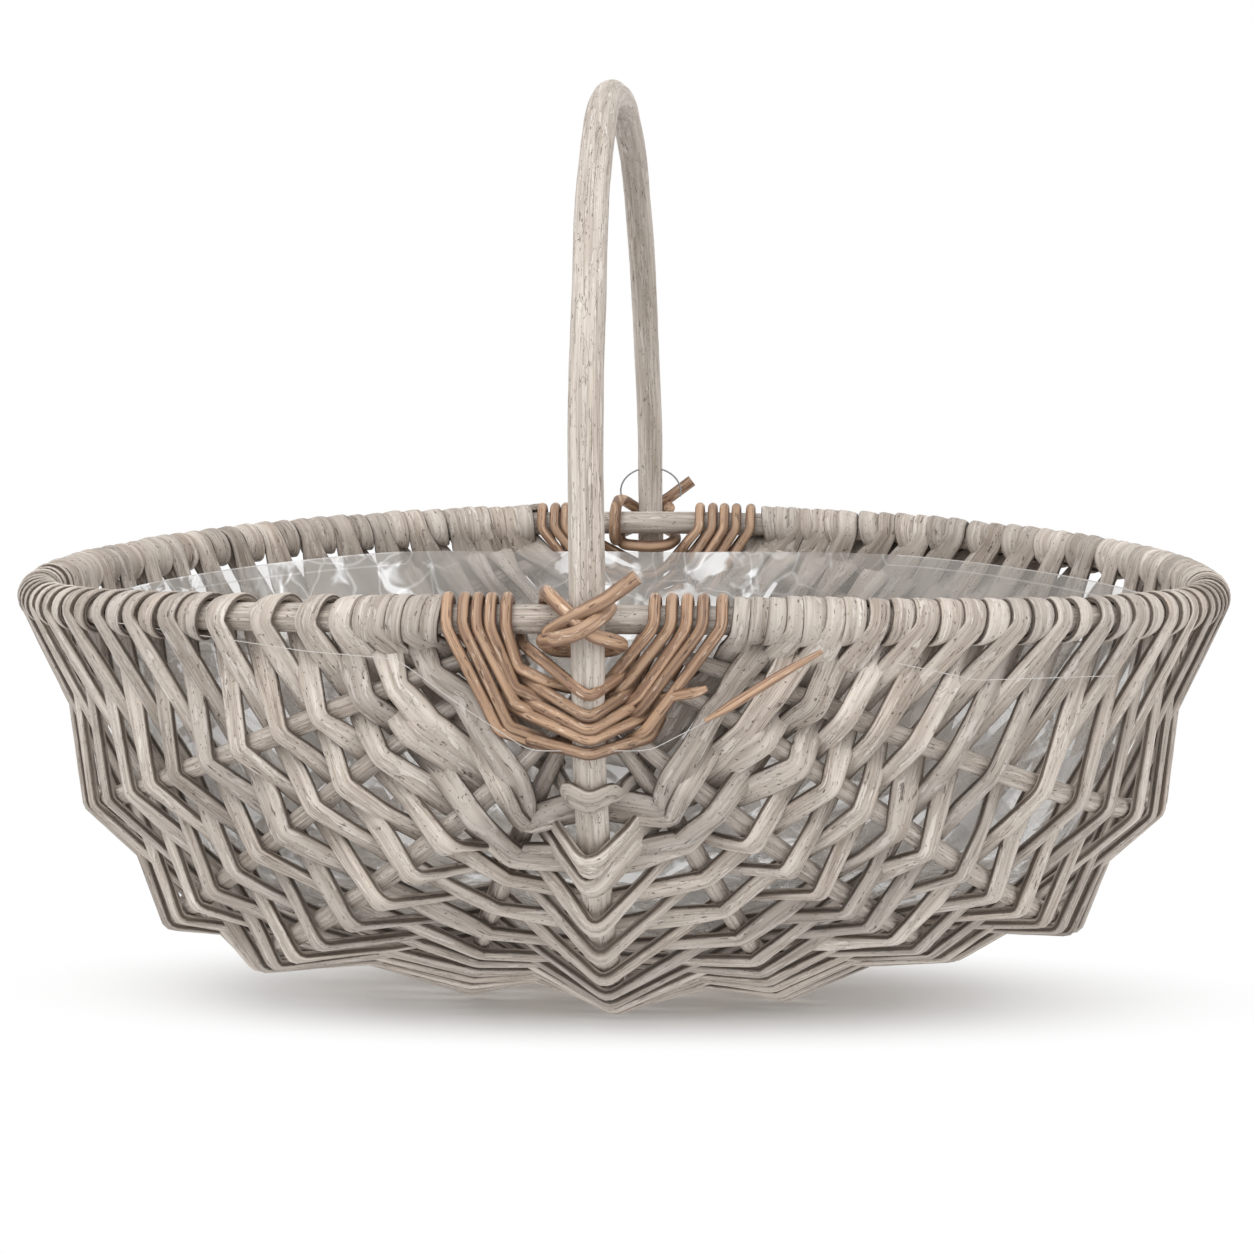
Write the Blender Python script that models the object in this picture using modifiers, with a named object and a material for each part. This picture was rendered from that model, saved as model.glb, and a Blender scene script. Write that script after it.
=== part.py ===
"""Willow harvest basket: a ribbed oval basket with a hoop handle, brown ear lashings and a clear film lining.

Lengths are in metres. X runs along the basket, Y across it from the front (-Y) to the back, Z up.
The basket stands on Z = 0 and its handle hoop stands in the plane X = 0.
"""

import math

import bmesh
import bpy
import numpy as np
from mathutils import Vector

COLLECTION_NAME = "harvest_basket"

# Gap between two rods that touch on the real basket
CLEARANCE = 0.0004

# Rim hoop
RIM_HALF_LENGTH = 0.300
RIM_HALF_WIDTH = 0.2503
RIM_ROUNDNESS = 2.25
RIM_HEIGHT = 0.2273
RIM_SAG = 0.0113
RIM_SAG_POWER = 2.0
RIM_RADIUS = 0.00685

# Handle hoop: the upper arch is the handle, the lower arch is the keel under the basket
HANDLE_RADIUS_FRONT = 0.0084
HANDLE_RADIUS_BACK = 0.0074
HANDLE_RISE = 0.2416
HANDLE_ROUNDNESS = 2.30
HANDLE_LEAN = -0.0044
KEEL_RADIUS = 0.0078
KEEL_ROUNDNESS = 2.22
KEEL_LEAN = 0.0024
HOOP_HALF_WIDTH = RIM_HALF_WIDTH + RIM_RADIUS + HANDLE_RADIUS_FRONT + CLEARANCE

# Ribs, from the highest to the lowest. A rib's ends lie behind the front and the back ear.
# Reaches are shares of the rim's half length, ends are shares of its height below the rim,
# and the low points of the first three are shares of the way up from the keel to the rim.
RIB_RADIUS = 0.0052
RIB_END_RADIUS = 0.0030
RIB_TAPER = 0.060
RIB_COUNT = 4
RIB_INSET_UPPER = 0.0073
RIB_INSET_LOWER = 0.0033
RIB_END_OFFSET_SHARES = {1: 0.0933, 2: 0.0933, 3: 0.0167, 4: 0.0167}
RIB_REACH_LEFT_SHARES = {1: 0.8867, 2: 0.7500, 3: 0.6200, 4: 0.2633}
RIB_REACH_RIGHT_SHARES = {1: 0.9000, 2: 0.7700, 3: 0.5867, 4: 0.2900}
RIB_END_DROP_LEFT_SHARES = {1: 0.0462, 2: 0.0836, 3: 0.1474, 4: 0.1936}
RIB_END_DROP_RIGHT_SHARES = {1: 0.0634, 2: 0.1254, 3: 0.1835, 4: 0.2261}
RIB_LOW_SHARES = {1: 0.4619, 2: 0.1822, 3: 0.1088}
RIB_ROUNDNESS_LEFT = {1: 2.42, 2: 2.43, 3: 2.37, 4: 1.62}
RIB_ROUNDNESS_RIGHT = {1: 2.38, 2: 2.14, 3: 1.91, 4: 1.79}
RIB_DROP_POWER_LEFT = {1: 1.15, 2: 1.14, 3: 0.81, 4: 1.13}
RIB_DROP_POWER_RIGHT = {1: 1.17, 2: 1.22, 3: 1.01, 4: 1.38}

# Grey weavers. A row runs from rim to rim under the basket, and row 0 is the one next to the ear.
WEAVER_RADIUS = 0.0033
HOOK_RADIUS = 0.0031
THIN_WEAVER_RADIUS = 0.0031
THIN_FIRST_ROWS = 6
THIN_LAST_ROWS = 14
ROWS_PER_HALF = 32
GROUPED_ROWS = 2
PAIRED_ROWS = 4
TRIPLE_ROWS = 6
ROWS_IN_EACH_ROD = (4, 4, 3, 3, 3, 3, 3, 3, 3, 3)

# Where the marked rows cross the rim, the ribs and the keel, as shares of the way from the ear to the middle
# of the basket, which lies half a row beyond the last one
MARKED_ROWS = (-0.5, 0, 1, 2, 3, 4, 5, 6, 8, 10, 14, 20, ROWS_PER_HALF - 0.5)
ROW_PLACE_SHARES = {
    "rim": (0.1699, 0.1789, 0.197, 0.2151, 0.2332, 0.251, 0.2691, 0.2953, 0.347, 0.4, 0.508, 0.678, 1),
    (1, -1): (0.0709, 0.0831, 0.1088, 0.132, 0.154, 0.1736, 0.1932, 0.2164, 0.271, 0.33, 0.435, 0.587, 1),
    (2, -1): (0.0405, 0.0532, 0.0835, 0.1114, 0.1342, 0.1532, 0.1709, 0.2, 0.256, 0.308, 0.408, 0.572, 1),
    (3, -1): (0.0679, 0.0836, 0.1175, 0.1358, 0.1514, 0.1697, 0.1854, 0.2089, 0.261, 0.308, 0.423, 0.627, 1),
    (4, -1): (0.112, 0.1279, 0.1681, 0.1896, 0.208, 0.2294, 0.2485, 0.2706, 0.319, 0.402, 0.574, 0.715, 1),
    "keel": (0.2021, 0.2109, 0.2299, 0.2526, 0.276, 0.3125, 0.332, 0.3516, 0.417, 0.49, 0.62, 0.768, 1),
    (4, 1): (0.112, 0.1279, 0.1595, 0.181, 0.1994, 0.2258, 0.2454, 0.2669, 0.313, 0.396, 0.571, 0.715, 1),
    (3, 1): (0.0679, 0.0836, 0.1175, 0.1358, 0.1504, 0.1723, 0.188, 0.2115, 0.285, 0.349, 0.473, 0.674, 1),
    (2, 1): (0.0405, 0.0532, 0.081, 0.1038, 0.1266, 0.1468, 0.1671, 0.1949, 0.241, 0.286, 0.397, 0.603, 1),
    (1, 1): (0.0709, 0.0831, 0.1002, 0.1198, 0.1418, 0.1638, 0.1829, 0.2029, 0.244, 0.281, 0.38, 0.582, 1),
}
HOOK_START_DEGREES = -15
HOOK_STEP_DEGREES = 70
HOOK_STEPS = 3
MOST_BULGE_SHARE = 2.8
KEEL_STEP_DEGREES = 50
KEEL_STEP_RISE = 0.004
SETTLING_PASSES = 14

# The basket stands on the lowest strands under the keel and the lowest ribs, which are cut flat on the floor
FLOOR_HEIGHT = 0.0
KEEL_FLOOR_CUT = 0.0007
RIB_FLOOR_CUT = 0.0010
STRAND_DEPTH = 2 * THIN_WEAVER_RADIUS + CLEARANCE
KEEL_HEIGHT = FLOOR_HEIGHT + KEEL_RADIUS + STRAND_DEPTH - KEEL_FLOOR_CUT
LOWEST_RIB_HEIGHT = FLOOR_HEIGHT + RIB_RADIUS + STRAND_DEPTH - RIB_FLOOR_CUT

# Brown lashings at the ears
LASHING_RADIUS = 0.0028
LASHING_LOOPS = 5
LASHING_LEFT_START = 0.037
LASHING_RIGHT_START = 0.029
LASHING_RIM_PITCH = 0.0074
LASHING_KEEL_DROP = 0.0323
LASHING_KEEL_PITCH = 0.0072
LASHING_BEND_DROP = 0.0193
LASHING_BEND_PITCH = 0.0084
LASHING_BEND_LEFT = 0.031
LASHING_BEND_RIGHT = 0.024
LASHING_BEND_SPREAD = 0.0036
LASHING_INNER_GAP = 0.0104
LASHING_INNER_DROP = 0.012

# Cross lashing that ties the rim to the handle hoop
CROSS_RADIUS = 0.0034
CROSS_LEFT = 0.022
CROSS_RIGHT = 0.013
CROSS_TIP_REACH = 0.023
CROSS_TIP_RISE = 0.012
CROSS_DROP = 0.003
WINDING_GAP = 0.0005
CROSS_STEP_DEGREES = 45
CROSS_STEPS = 3

# Clear film lining
LINER_GAP = 0.0063
LINER_EDGE_GAP = 0.0007
LINER_EDGE_DROP = 0.012
LINER_THICKNESS = 0.0006
LINER_FIRST_ROW = 8.0
LINER_SECTIONS = 12

# The gap of a winding to itself is measured at points this far apart
GAP_STEP = 0.0007
GAP_NEIGHBOUR_RADII = 6

# Steps of the rods
HOOP_STEPS = 30
RIB_STEPS = 24
DENSE_STEPS = 600
RING_RESOLUTION = 1
HOOP_RESOLUTION = 2
WELD_DISTANCE = 0.00002

GREY_WILLOW = (0.52, 0.47, 0.42, 1.0)
GREY_HANDLE = (0.56, 0.52, 0.47, 1.0)
BROWN_WILLOW = (0.44, 0.27, 0.16, 1.0)
CLEAR_FILM = (0.85, 0.87, 0.88, 1.0)
GREY_ROUGHNESS = 0.75
HANDLE_ROUGHNESS = 0.70
BROWN_ROUGHNESS = 0.50
FILM_ROUGHNESS = 0.10
FILM_ALPHA = 0.35


def signed_power(value, power):
    return math.copysign(abs(value) ** power, value)


def arch(half_width, end_x, middle_x, end_z, middle_z, roundness, drop_power, steps):
    """A bowed rod from the front ear to the back ear, as points at even distances along it."""
    dense = []
    for index in range(DENSE_STEPS + 1):
        angle = math.pi * (index / DENSE_STEPS) - math.pi / 2
        outward = abs(math.cos(angle)) ** (2 / roundness)
        across = signed_power(math.sin(angle), 2 / roundness)
        dense.append(Vector((
            end_x + (middle_x - end_x) * outward,
            half_width * across,
            end_z + (middle_z - end_z) * outward**drop_power,
        )))
    return spread_evenly(dense, steps)


def spread_evenly(points, steps):
    total = length_of(points)
    return [spot(points, total * index / steps)[0] for index in range(steps + 1)]


def length_of(points):
    return sum((after - before).length for before, after in zip(points, points[1:]))


def spot(points, distance):
    """The point at a distance along a line of points, and the direction of the line there."""
    left = distance
    for before, after in zip(points, points[1:]):
        step = (after - before).length
        if left <= step and step > 0:
            return before.lerp(after, left / step), (after - before).normalized()
        left -= step
    return points[-1].copy(), (points[-1] - points[-2]).normalized()


def rim_line(side):
    return arch(
        RIM_HALF_WIDTH, 0, side * RIM_HALF_LENGTH, RIM_HEIGHT, RIM_HEIGHT - RIM_SAG,
        RIM_ROUNDNESS, RIM_SAG_POWER, HOOP_STEPS,
    )


def keel_line():
    return arch(HOOP_HALF_WIDTH, 0, KEEL_LEAN, RIM_HEIGHT, KEEL_HEIGHT, KEEL_ROUNDNESS, 1, HOOP_STEPS)


def handle_line():
    top = RIM_HEIGHT + HANDLE_RISE
    return arch(HOOP_HALF_WIDTH, 0, HANDLE_LEAN, RIM_HEIGHT, top, HANDLE_ROUNDNESS, 1, HOOP_STEPS)


def rib_half_width(number):
    return RIM_HALF_WIDTH - (RIB_INSET_UPPER if number <= RIB_COUNT / 2 else RIB_INSET_LOWER)


def rib_line(number, side):
    reach_share = (RIB_REACH_LEFT_SHARES if side < 0 else RIB_REACH_RIGHT_SHARES)[number]
    drop_share = (RIB_END_DROP_LEFT_SHARES if side < 0 else RIB_END_DROP_RIGHT_SHARES)[number]
    roundness = (RIB_ROUNDNESS_LEFT if side < 0 else RIB_ROUNDNESS_RIGHT)[number]
    drop_power = (RIB_DROP_POWER_LEFT if side < 0 else RIB_DROP_POWER_RIGHT)[number]
    low = LOWEST_RIB_HEIGHT
    if number < RIB_COUNT:
        low = KEEL_HEIGHT + RIB_LOW_SHARES[number] * (RIM_HEIGHT - KEEL_HEIGHT)
    return arch(
        rib_half_width(number), side * RIB_END_OFFSET_SHARES[number] * RIM_HALF_LENGTH,
        side * reach_share * RIM_HALF_LENGTH, (1 - drop_share) * RIM_HEIGHT, low,
        roundness, drop_power, RIB_STEPS,
    )


def rib_radius(distance_to_end):
    share = min(1.0, distance_to_end / RIB_TAPER)
    return RIB_END_RADIUS + (RIB_RADIUS - RIB_END_RADIUS) * share


def make_material(name, color, roughness, alpha=1.0):
    material = bpy.data.materials.new(name)
    material.use_nodes = True
    shader = material.node_tree.nodes["Principled BSDF"]
    shader.inputs["Base Color"].default_value = color
    shader.inputs["Roughness"].default_value = roughness
    shader.inputs["Metallic"].default_value = 0.0
    shader.inputs["Alpha"].default_value = alpha
    return material


def add_rod(name, points, radii, material, resolution=RING_RESOLUTION, closed=False):
    """A round rod along points, with its own radius at each of them."""
    thickest = max(radii)
    curve = bpy.data.curves.new(name, "CURVE")
    curve.dimensions = "3D"
    curve.bevel_depth = thickest
    curve.bevel_resolution = resolution
    curve.use_fill_caps = not closed
    spline = curve.splines.new("POLY")
    spline.points.add(len(points) - 1)
    for knot, point, radius in zip(spline.points, points, radii):
        knot.co = (point.x, point.y, point.z, 1.0)
        knot.radius = radius / thickest
    spline.use_cyclic_u = closed
    spline.use_smooth = True
    curve.materials.append(material)
    rod = bpy.data.objects.new(name, curve)
    bpy.data.collections[COLLECTION_NAME].objects.link(rod)
    return rod


def cut_flat_underneath(rod):
    """Turns a rod into a mesh and cuts away what lies below the floor, where the basket stands on it."""
    graph = bpy.context.evaluated_depsgraph_get()
    mesh = bpy.data.meshes.new_from_object(rod.evaluated_get(graph))
    body = bmesh.new()
    body.from_mesh(mesh)
    bmesh.ops.remove_doubles(body, verts=body.verts, dist=WELD_DISTANCE)
    everything = body.verts[:] + body.edges[:] + body.faces[:]
    cut = bmesh.ops.bisect_plane(
        body, geom=everything, plane_co=(0, 0, FLOOR_HEIGHT), plane_no=(0, 0, 1), clear_inner=True
    )
    edges = [item for item in cut["geom_cut"] if isinstance(item, bmesh.types.BMEdge)]
    bmesh.ops.holes_fill(body, edges=edges)
    body.to_mesh(mesh)
    body.free()
    name, old = rod.name, rod.data
    bpy.data.objects.remove(rod)
    bpy.data.curves.remove(old)
    bpy.data.collections[COLLECTION_NAME].objects.link(bpy.data.objects.new(name, mesh))


def hook_reach(radius):
    """How far the corners of a rod's way over the rim lie from the rim's centre."""
    return (RIM_RADIUS + radius + CLEARANCE) / math.cos(math.radians(HOOK_STEP_DEGREES / 2))


class Weave:
    """The lines of the frame and the way of each weaver over them, for the front half of the basket."""

    def __init__(self):
        self.rims = {side: rim_line(side) for side in (-1, 1)}
        numbers = range(1, RIB_COUNT + 1)
        self.ribs = {(number, side): rib_line(number, side) for number in numbers for side in (-1, 1)}
        self.keel = keel_line()

    def row_distance(self, line, station, row):
        """How far from the front ear a row crosses a line. A rib's station is its number and its side."""
        return length_of(line) / 2 * float(np.interp(row, MARKED_ROWS, ROW_PLACE_SHARES[station]))

    def rim_distance(self, side, row):
        return self.row_distance(self.rims[side], "rim", min(row, ROWS_PER_HALF - 1))

    def crossings(self, row):
        """Where a row crosses the ribs and the keel, from left to right: point, direction and radius."""
        found = []
        stations = [(number, -1) for number in range(1, RIB_COUNT + 1)]
        stations += ["keel"] + [(number, 1) for number in range(RIB_COUNT, 0, -1)]
        for station in stations:
            if station == "keel":
                distance = self.row_distance(self.keel, "keel", row)
                found.append((*spot(self.keel, distance), KEEL_RADIUS))
            else:
                line = self.ribs[station]
                distance = self.row_distance(line, station, row)
                found.append((*spot(line, distance), rib_radius(distance)))
        return found

    def sides_of(self, row):
        """+1 where a row passes outside a rib or the keel, -1 where it passes inside, from left to right."""
        first = -1 if row % 2 == 0 else 1
        if row < GROUPED_ROWS:
            half, keel = [first] * RIB_COUNT, -first
        elif row < PAIRED_ROWS:
            half, keel = [first, first, -first, -first], first
        elif row < TRIPLE_ROWS:
            half, keel = [first, -first, first, first], -first
        else:
            half, keel = [first, -first, first, -first], first
        return half + [keel] + half[::-1]

    def wrap_point(self, side, distance, degrees, radius):
        """A rod's centre on its way over the rim, 0 degrees being the outside and 90 the top."""
        centre, along = spot(self.rims[side], distance)
        outward = along.cross(Vector((0, 0, 1)))
        if outward.dot(Vector((centre.x, centre.y, 0))) < 0:
            outward.negate()
        outward.normalize()
        reach = hook_reach(radius)
        turn = math.radians(degrees)
        return centre + reach * (math.cos(turn) * outward + math.sin(turn) * Vector((0, 0, 1)))

    def hook(self, side, row):
        """The weaver's way over the rim after a row, or only its two ends where the rod changes."""
        starts_outside = row % 2 == 0
        near, far = self.rim_distance(side, row), self.rim_distance(side, row + 1)
        points = []
        for step in range(HOOK_STEPS + 1):
            share = step / HOOK_STEPS
            turned = step if starts_outside else HOOK_STEPS - step
            degrees = HOOK_START_DEGREES + turned * HOOK_STEP_DEGREES
            points.append(self.wrap_point(side, near + (far - near) * share, degrees, HOOK_RADIUS))
        return points

    def row_points(self, row, left_end, right_end, radius):
        """The centre line of a row between its two ends on the rim, pulled tight round ribs and keel."""
        crossings = self.crossings(row)
        sides = self.sides_of(row)
        middle = Vector((0, 0, RIM_HEIGHT))
        reaches, outwards = [], []
        centres = [left_end] + [crossing[0] for crossing in crossings] + [right_end]
        for index, (centre, along, rib) in enumerate(crossings):
            outward = along.cross(centres[index + 2] - centres[index])
            outward.normalize()
            if outward.dot(centre - middle) < 0:
                outward.negate()
            outwards.append(outward * sides[index])
            reaches.append(rib + radius + CLEARANCE)
        heights = list(reaches)
        for _ in range(SETTLING_PASSES):
            chain = [left_end] + lifted(crossings, outwards, heights) + [right_end]
            for index, (centre, along, _radius) in enumerate(crossings):
                here = chain[index + 1]
                nearest = min(
                    line_gap(centre, along, here, chain[index] - here),
                    line_gap(centre, along, here, chain[index + 2] - here),
                )
                wanted = heights[index] * reaches[index] / max(nearest, reaches[index] / 2)
                heights[index] = min(max(wanted, reaches[index]), reaches[index] * MOST_BULGE_SHARE)
        places = lifted(crossings, outwards, heights)
        if row == 0:
            places[RIB_COUNT:RIB_COUNT + 1] = self.round_keel(crossings[RIB_COUNT], radius)
        return places

    def round_keel(self, crossing, radius):
        """The corners of the first row on its way round the front of the keel, which it meets steeply."""
        centre, along, keel = crossing
        reach = (keel + radius + CLEARANCE) / math.cos(math.radians(KEEL_STEP_DEGREES / 2))
        forward = along.cross(Vector((1, 0, 0))).normalized()
        if forward.y > 0:
            forward.negate()
        corners = []
        for step in (-1, 0, 1):
            turn = math.radians(step * KEEL_STEP_DEGREES)
            outward = math.sin(turn) * Vector((1, 0, 0)) + math.cos(turn) * forward
            corners.append(centre + reach * outward - along * (abs(step) * KEEL_STEP_RISE))
        return corners

    def rod_path(self, first_row, row_count):
        """The whole path of one rod and its radius at each point."""
        points, radii = [], []
        for row in range(first_row, first_row + row_count):
            start_side, end_side = (-1, 1) if row % 2 == 0 else (1, -1)
            thin = row < THIN_FIRST_ROWS or row >= ROWS_PER_HALF - THIN_LAST_ROWS
            radius = THIN_WEAVER_RADIUS if thin else WEAVER_RADIUS
            before = self.hook(start_side, row - 1)
            after = self.hook(end_side, row)
            ends = (before[-1], after[0]) if start_side < 0 else (after[0], before[-1])
            inner = self.row_points(row, ends[0], ends[1], radius)
            if start_side > 0:
                inner.reverse()
            if row == first_row:
                points += before[-2:]
                radii += [HOOK_RADIUS] * 2
            points += inner
            radii += [radius] * len(inner)
            kept = after[:2] if row == first_row + row_count - 1 else after
            points += kept
            radii += [HOOK_RADIUS] * len(kept)
        return points, radii


def lifted(crossings, outwards, heights):
    """The points that lie at their heights over the centres of the rods."""
    centres = [crossing[0] for crossing in crossings]
    return [centre + outward * height for centre, outward, height in zip(centres, outwards, heights)]


def line_gap(centre, along, point, direction):
    """Distance between two lines, each given by a point and a direction."""
    across = along.cross(direction)
    return abs((point - centre).dot(across)) / across.length


def mirrored(points):
    return [Vector((point.x, -point.y, point.z)) for point in points]


def add_weavers(weave, material):
    for end, turn_over in (("front", False), ("back", True)):
        row = 0
        for number, row_count in enumerate(ROWS_IN_EACH_ROD, start=1):
            points, radii = weave.rod_path(row, row_count)
            if turn_over:
                points = mirrored(points)
            rod = add_rod(f"weaver_{end}_{number:02d}", points, radii, material)
            if min(point.z - radius for point, radius in zip(points, radii)) < FLOOR_HEIGHT:
                cut_flat_underneath(rod)
            row += row_count


def add_frame(grey, handle_grey):
    left, right = rim_line(-1), rim_line(1)
    rim = left + right[-2:0:-1]
    add_rod("rim_hoop", rim, [RIM_RADIUS] * len(rim), grey, HOOP_RESOLUTION, closed=True)
    handle, keel = handle_line(), keel_line()
    hoop, radii = [], []
    for index, point in enumerate(handle):
        share = index / HOOP_STEPS
        hoop.append(point)
        radii.append(HANDLE_RADIUS_FRONT + (HANDLE_RADIUS_BACK - HANDLE_RADIUS_FRONT) * share)
    for point in keel[-2:0:-1]:
        hoop.append(point)
        radii.append(KEEL_RADIUS)
    add_rod("handle_hoop", hoop, radii, handle_grey, HOOP_RESOLUTION, closed=True)
    for side, word in ((-1, "left"), (1, "right")):
        for number in range(1, RIB_COUNT + 1):
            line = rib_line(number, side)
            half = length_of(line) / 2
            shares = [1 - abs(1 - 2 * index / RIB_STEPS) for index in range(RIB_STEPS + 1)]
            add_rod(f"rib_{word}_{number}", line, [rib_radius(half * share) for share in shares], grey)


def keel_depth_at(height):
    """How far the keel's centre lies from the middle of the basket at a height."""
    share = (RIM_HEIGHT - height) / (RIM_HEIGHT - KEEL_HEIGHT)
    return HOOP_HALF_WIDTH * (1 - share**KEEL_ROUNDNESS) ** (1 / KEEL_ROUNDNESS)


def wrap_over_rim(weave, side, first, last, radius, inward):
    """A rod's way over the rim, from the outside to the inside or back, as it moves along the rim."""
    points = []
    for step in range(HOOK_STEPS + 1):
        share = step / HOOK_STEPS
        turned = step if inward else HOOK_STEPS - step
        degrees = HOOK_START_DEGREES + turned * HOOK_STEP_DEGREES
        points.append(weave.wrap_point(side, first + (last - first) * share, degrees, radius))
    return points


def ear_lashing_path(weave):
    """Turns round the front ear: down over the rim, round the keel, up again, then back on the inside."""
    outside = -(RIM_HALF_WIDTH + RIM_RADIUS + LASHING_RADIUS + CLEARANCE)
    behind = -(rib_half_width(1) - RIB_RADIUS - LASHING_RADIUS - CLEARANCE - LASHING_INNER_GAP)
    keel_reach = HANDLE_RADIUS_FRONT + LASHING_RADIUS + CLEARANCE
    step = LASHING_RIM_PITCH / 2
    points = []
    for loop in range(LASHING_LOOPS):
        left = LASHING_LEFT_START + loop * LASHING_RIM_PITCH
        right = LASHING_RIGHT_START + loop * LASHING_RIM_PITCH
        bend_z = RIM_HEIGHT - LASHING_BEND_DROP - loop * LASHING_BEND_PITCH
        bend_left = -(LASHING_BEND_LEFT + loop * LASHING_BEND_SPREAD)
        bend_right = LASHING_BEND_RIGHT + loop * LASHING_BEND_SPREAD
        keel_z = RIM_HEIGHT - LASHING_KEEL_DROP - loop * LASHING_KEEL_PITCH
        keel_y = -(keel_depth_at(keel_z) + keel_reach)
        points += wrap_over_rim(weave, -1, left, left, LASHING_RADIUS, inward=False)
        points += [
            Vector((bend_left, outside, bend_z)),
            Vector((-KEEL_RADIUS / 2, keel_y, keel_z)),
            Vector((KEEL_RADIUS / 2, keel_y, keel_z)),
            Vector((bend_right, outside, bend_z)),
        ]
        points += wrap_over_rim(weave, 1, right, right + step, LASHING_RADIUS, inward=True)
        points += [
            Vector((bend_right, behind, bend_z)),
            Vector((-left, behind, bend_z)),
            Vector((-left, behind, RIM_HEIGHT - LASHING_INNER_DROP)),
        ]
    return points


def handle_wrap(radius, first_z, last_z, rightward):
    """A rod's way round the front of the handle hoop, falling or rising as it goes."""
    reach = radius / math.cos(math.radians(CROSS_STEP_DEGREES / 2))
    points = []
    for step in range(CROSS_STEPS + 1):
        share = step / CROSS_STEPS
        degrees = (step - CROSS_STEPS / 2) * CROSS_STEP_DEGREES * (1 if rightward else -1)
        turn = math.radians(degrees)
        points.append(Vector((
            reach * math.sin(turn),
            -(HOOP_HALF_WIDTH + reach * math.cos(turn)),
            first_z + (last_z - first_z) * share,
        )))
    return points


def cross_lashing_path():
    """The tie round the crossing of rim and handle, from its cut tip at the upper right."""
    rim_reach = RIM_RADIUS + CROSS_RADIUS + CLEARANCE
    under = RIM_HEIGHT - rim_reach
    over = RIM_HEIGHT + rim_reach
    inside = -(RIM_HALF_WIDTH - rim_reach)
    outside = -(RIM_HALF_WIDTH + rim_reach)
    first = HANDLE_RADIUS_FRONT + CROSS_RADIUS + CLEARANCE
    second = first + 2 * CROSS_RADIUS + WINDING_GAP
    tip = Vector((CROSS_TIP_REACH, -(HOOP_HALF_WIDTH + first), over + CROSS_TIP_RISE))
    points = [tip] + handle_wrap(second, over + CROSS_DROP, under + CROSS_DROP, rightward=False)[1:]
    points += [
        Vector((-CROSS_LEFT, outside, under)),
        Vector((-CROSS_LEFT, inside, under)),
        Vector((-CROSS_LEFT, inside, over)),
        Vector((-CROSS_LEFT, outside, over)),
    ]
    points += handle_wrap(first, RIM_HEIGHT + CROSS_DROP, RIM_HEIGHT - CROSS_DROP, rightward=True)
    points += [Vector((CROSS_RIGHT, outside, under)), Vector((CROSS_RIGHT, inside, under))]
    return points


def least_gap_to_itself(path, radius):
    """The least gap between the turns of a winding, measured at even points along it."""
    steps = round(length_of(path) / GAP_STEP)
    points = np.array([tuple(point) for point in spread_evenly(path, steps)])
    apart = math.ceil(GAP_NEIGHBOUR_RADII * radius / GAP_STEP)
    least = min(
        np.linalg.norm(points[index + apart:] - points[index], axis=1).min()
        for index in range(len(points) - apart)
    )
    return least - 2 * radius


def add_lashings(weave, brown):
    for end, turn_over in (("front", False), ("back", True)):
        for name, path, radius in (
            ("ear_lashing", ear_lashing_path(weave), LASHING_RADIUS),
            ("cross_lashing", cross_lashing_path(), CROSS_RADIUS),
        ):
            points = mirrored(path) if turn_over else path
            add_rod(f"{name}_{end}", points, [radius] * len(points), brown)
            print(f"{name}_{end}: least gap to itself {least_gap_to_itself(points, radius):.5f} m")


def liner_reach(rod_radius, strand_radius):
    """How far the lining lies from the centre of a rod that a strand passes on the inside."""
    return rod_radius + 2 * strand_radius + LINER_THICKNESS / 2 + LINER_GAP


def liner_section(weave, row):
    """One cross section of the lining, just inside the ribs, from its left edge to its right edge."""
    points = []
    middle = Vector((0, 0, RIM_HEIGHT))
    crossings = weave.crossings(row)
    ends = []
    for side in (-1, 1):
        centre, along = spot(weave.rims[side], weave.rim_distance(side, row))
        outward = along.cross(Vector((0, 0, 1)))
        if outward.dot(Vector((centre.x, centre.y, 0))) < 0:
            outward.negate()
        inset = hook_reach(HOOK_RADIUS) + HOOK_RADIUS + LINER_THICKNESS / 2 + LINER_EDGE_GAP
        ends.append(centre - outward.normalized() * inset - Vector((0, 0, LINER_EDGE_DROP)))
    centres = [ends[0]] + [crossing[0] for crossing in crossings] + [ends[1]]
    for index, (centre, along, radius) in enumerate(crossings):
        outward = along.cross(centres[index + 2] - centres[index]).normalized()
        if outward.dot(centre - middle) < 0:
            outward.negate()
        points.append(centre - outward * liner_reach(radius, WEAVER_RADIUS))
    return [ends[0]] + points + [ends[1]]


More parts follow.
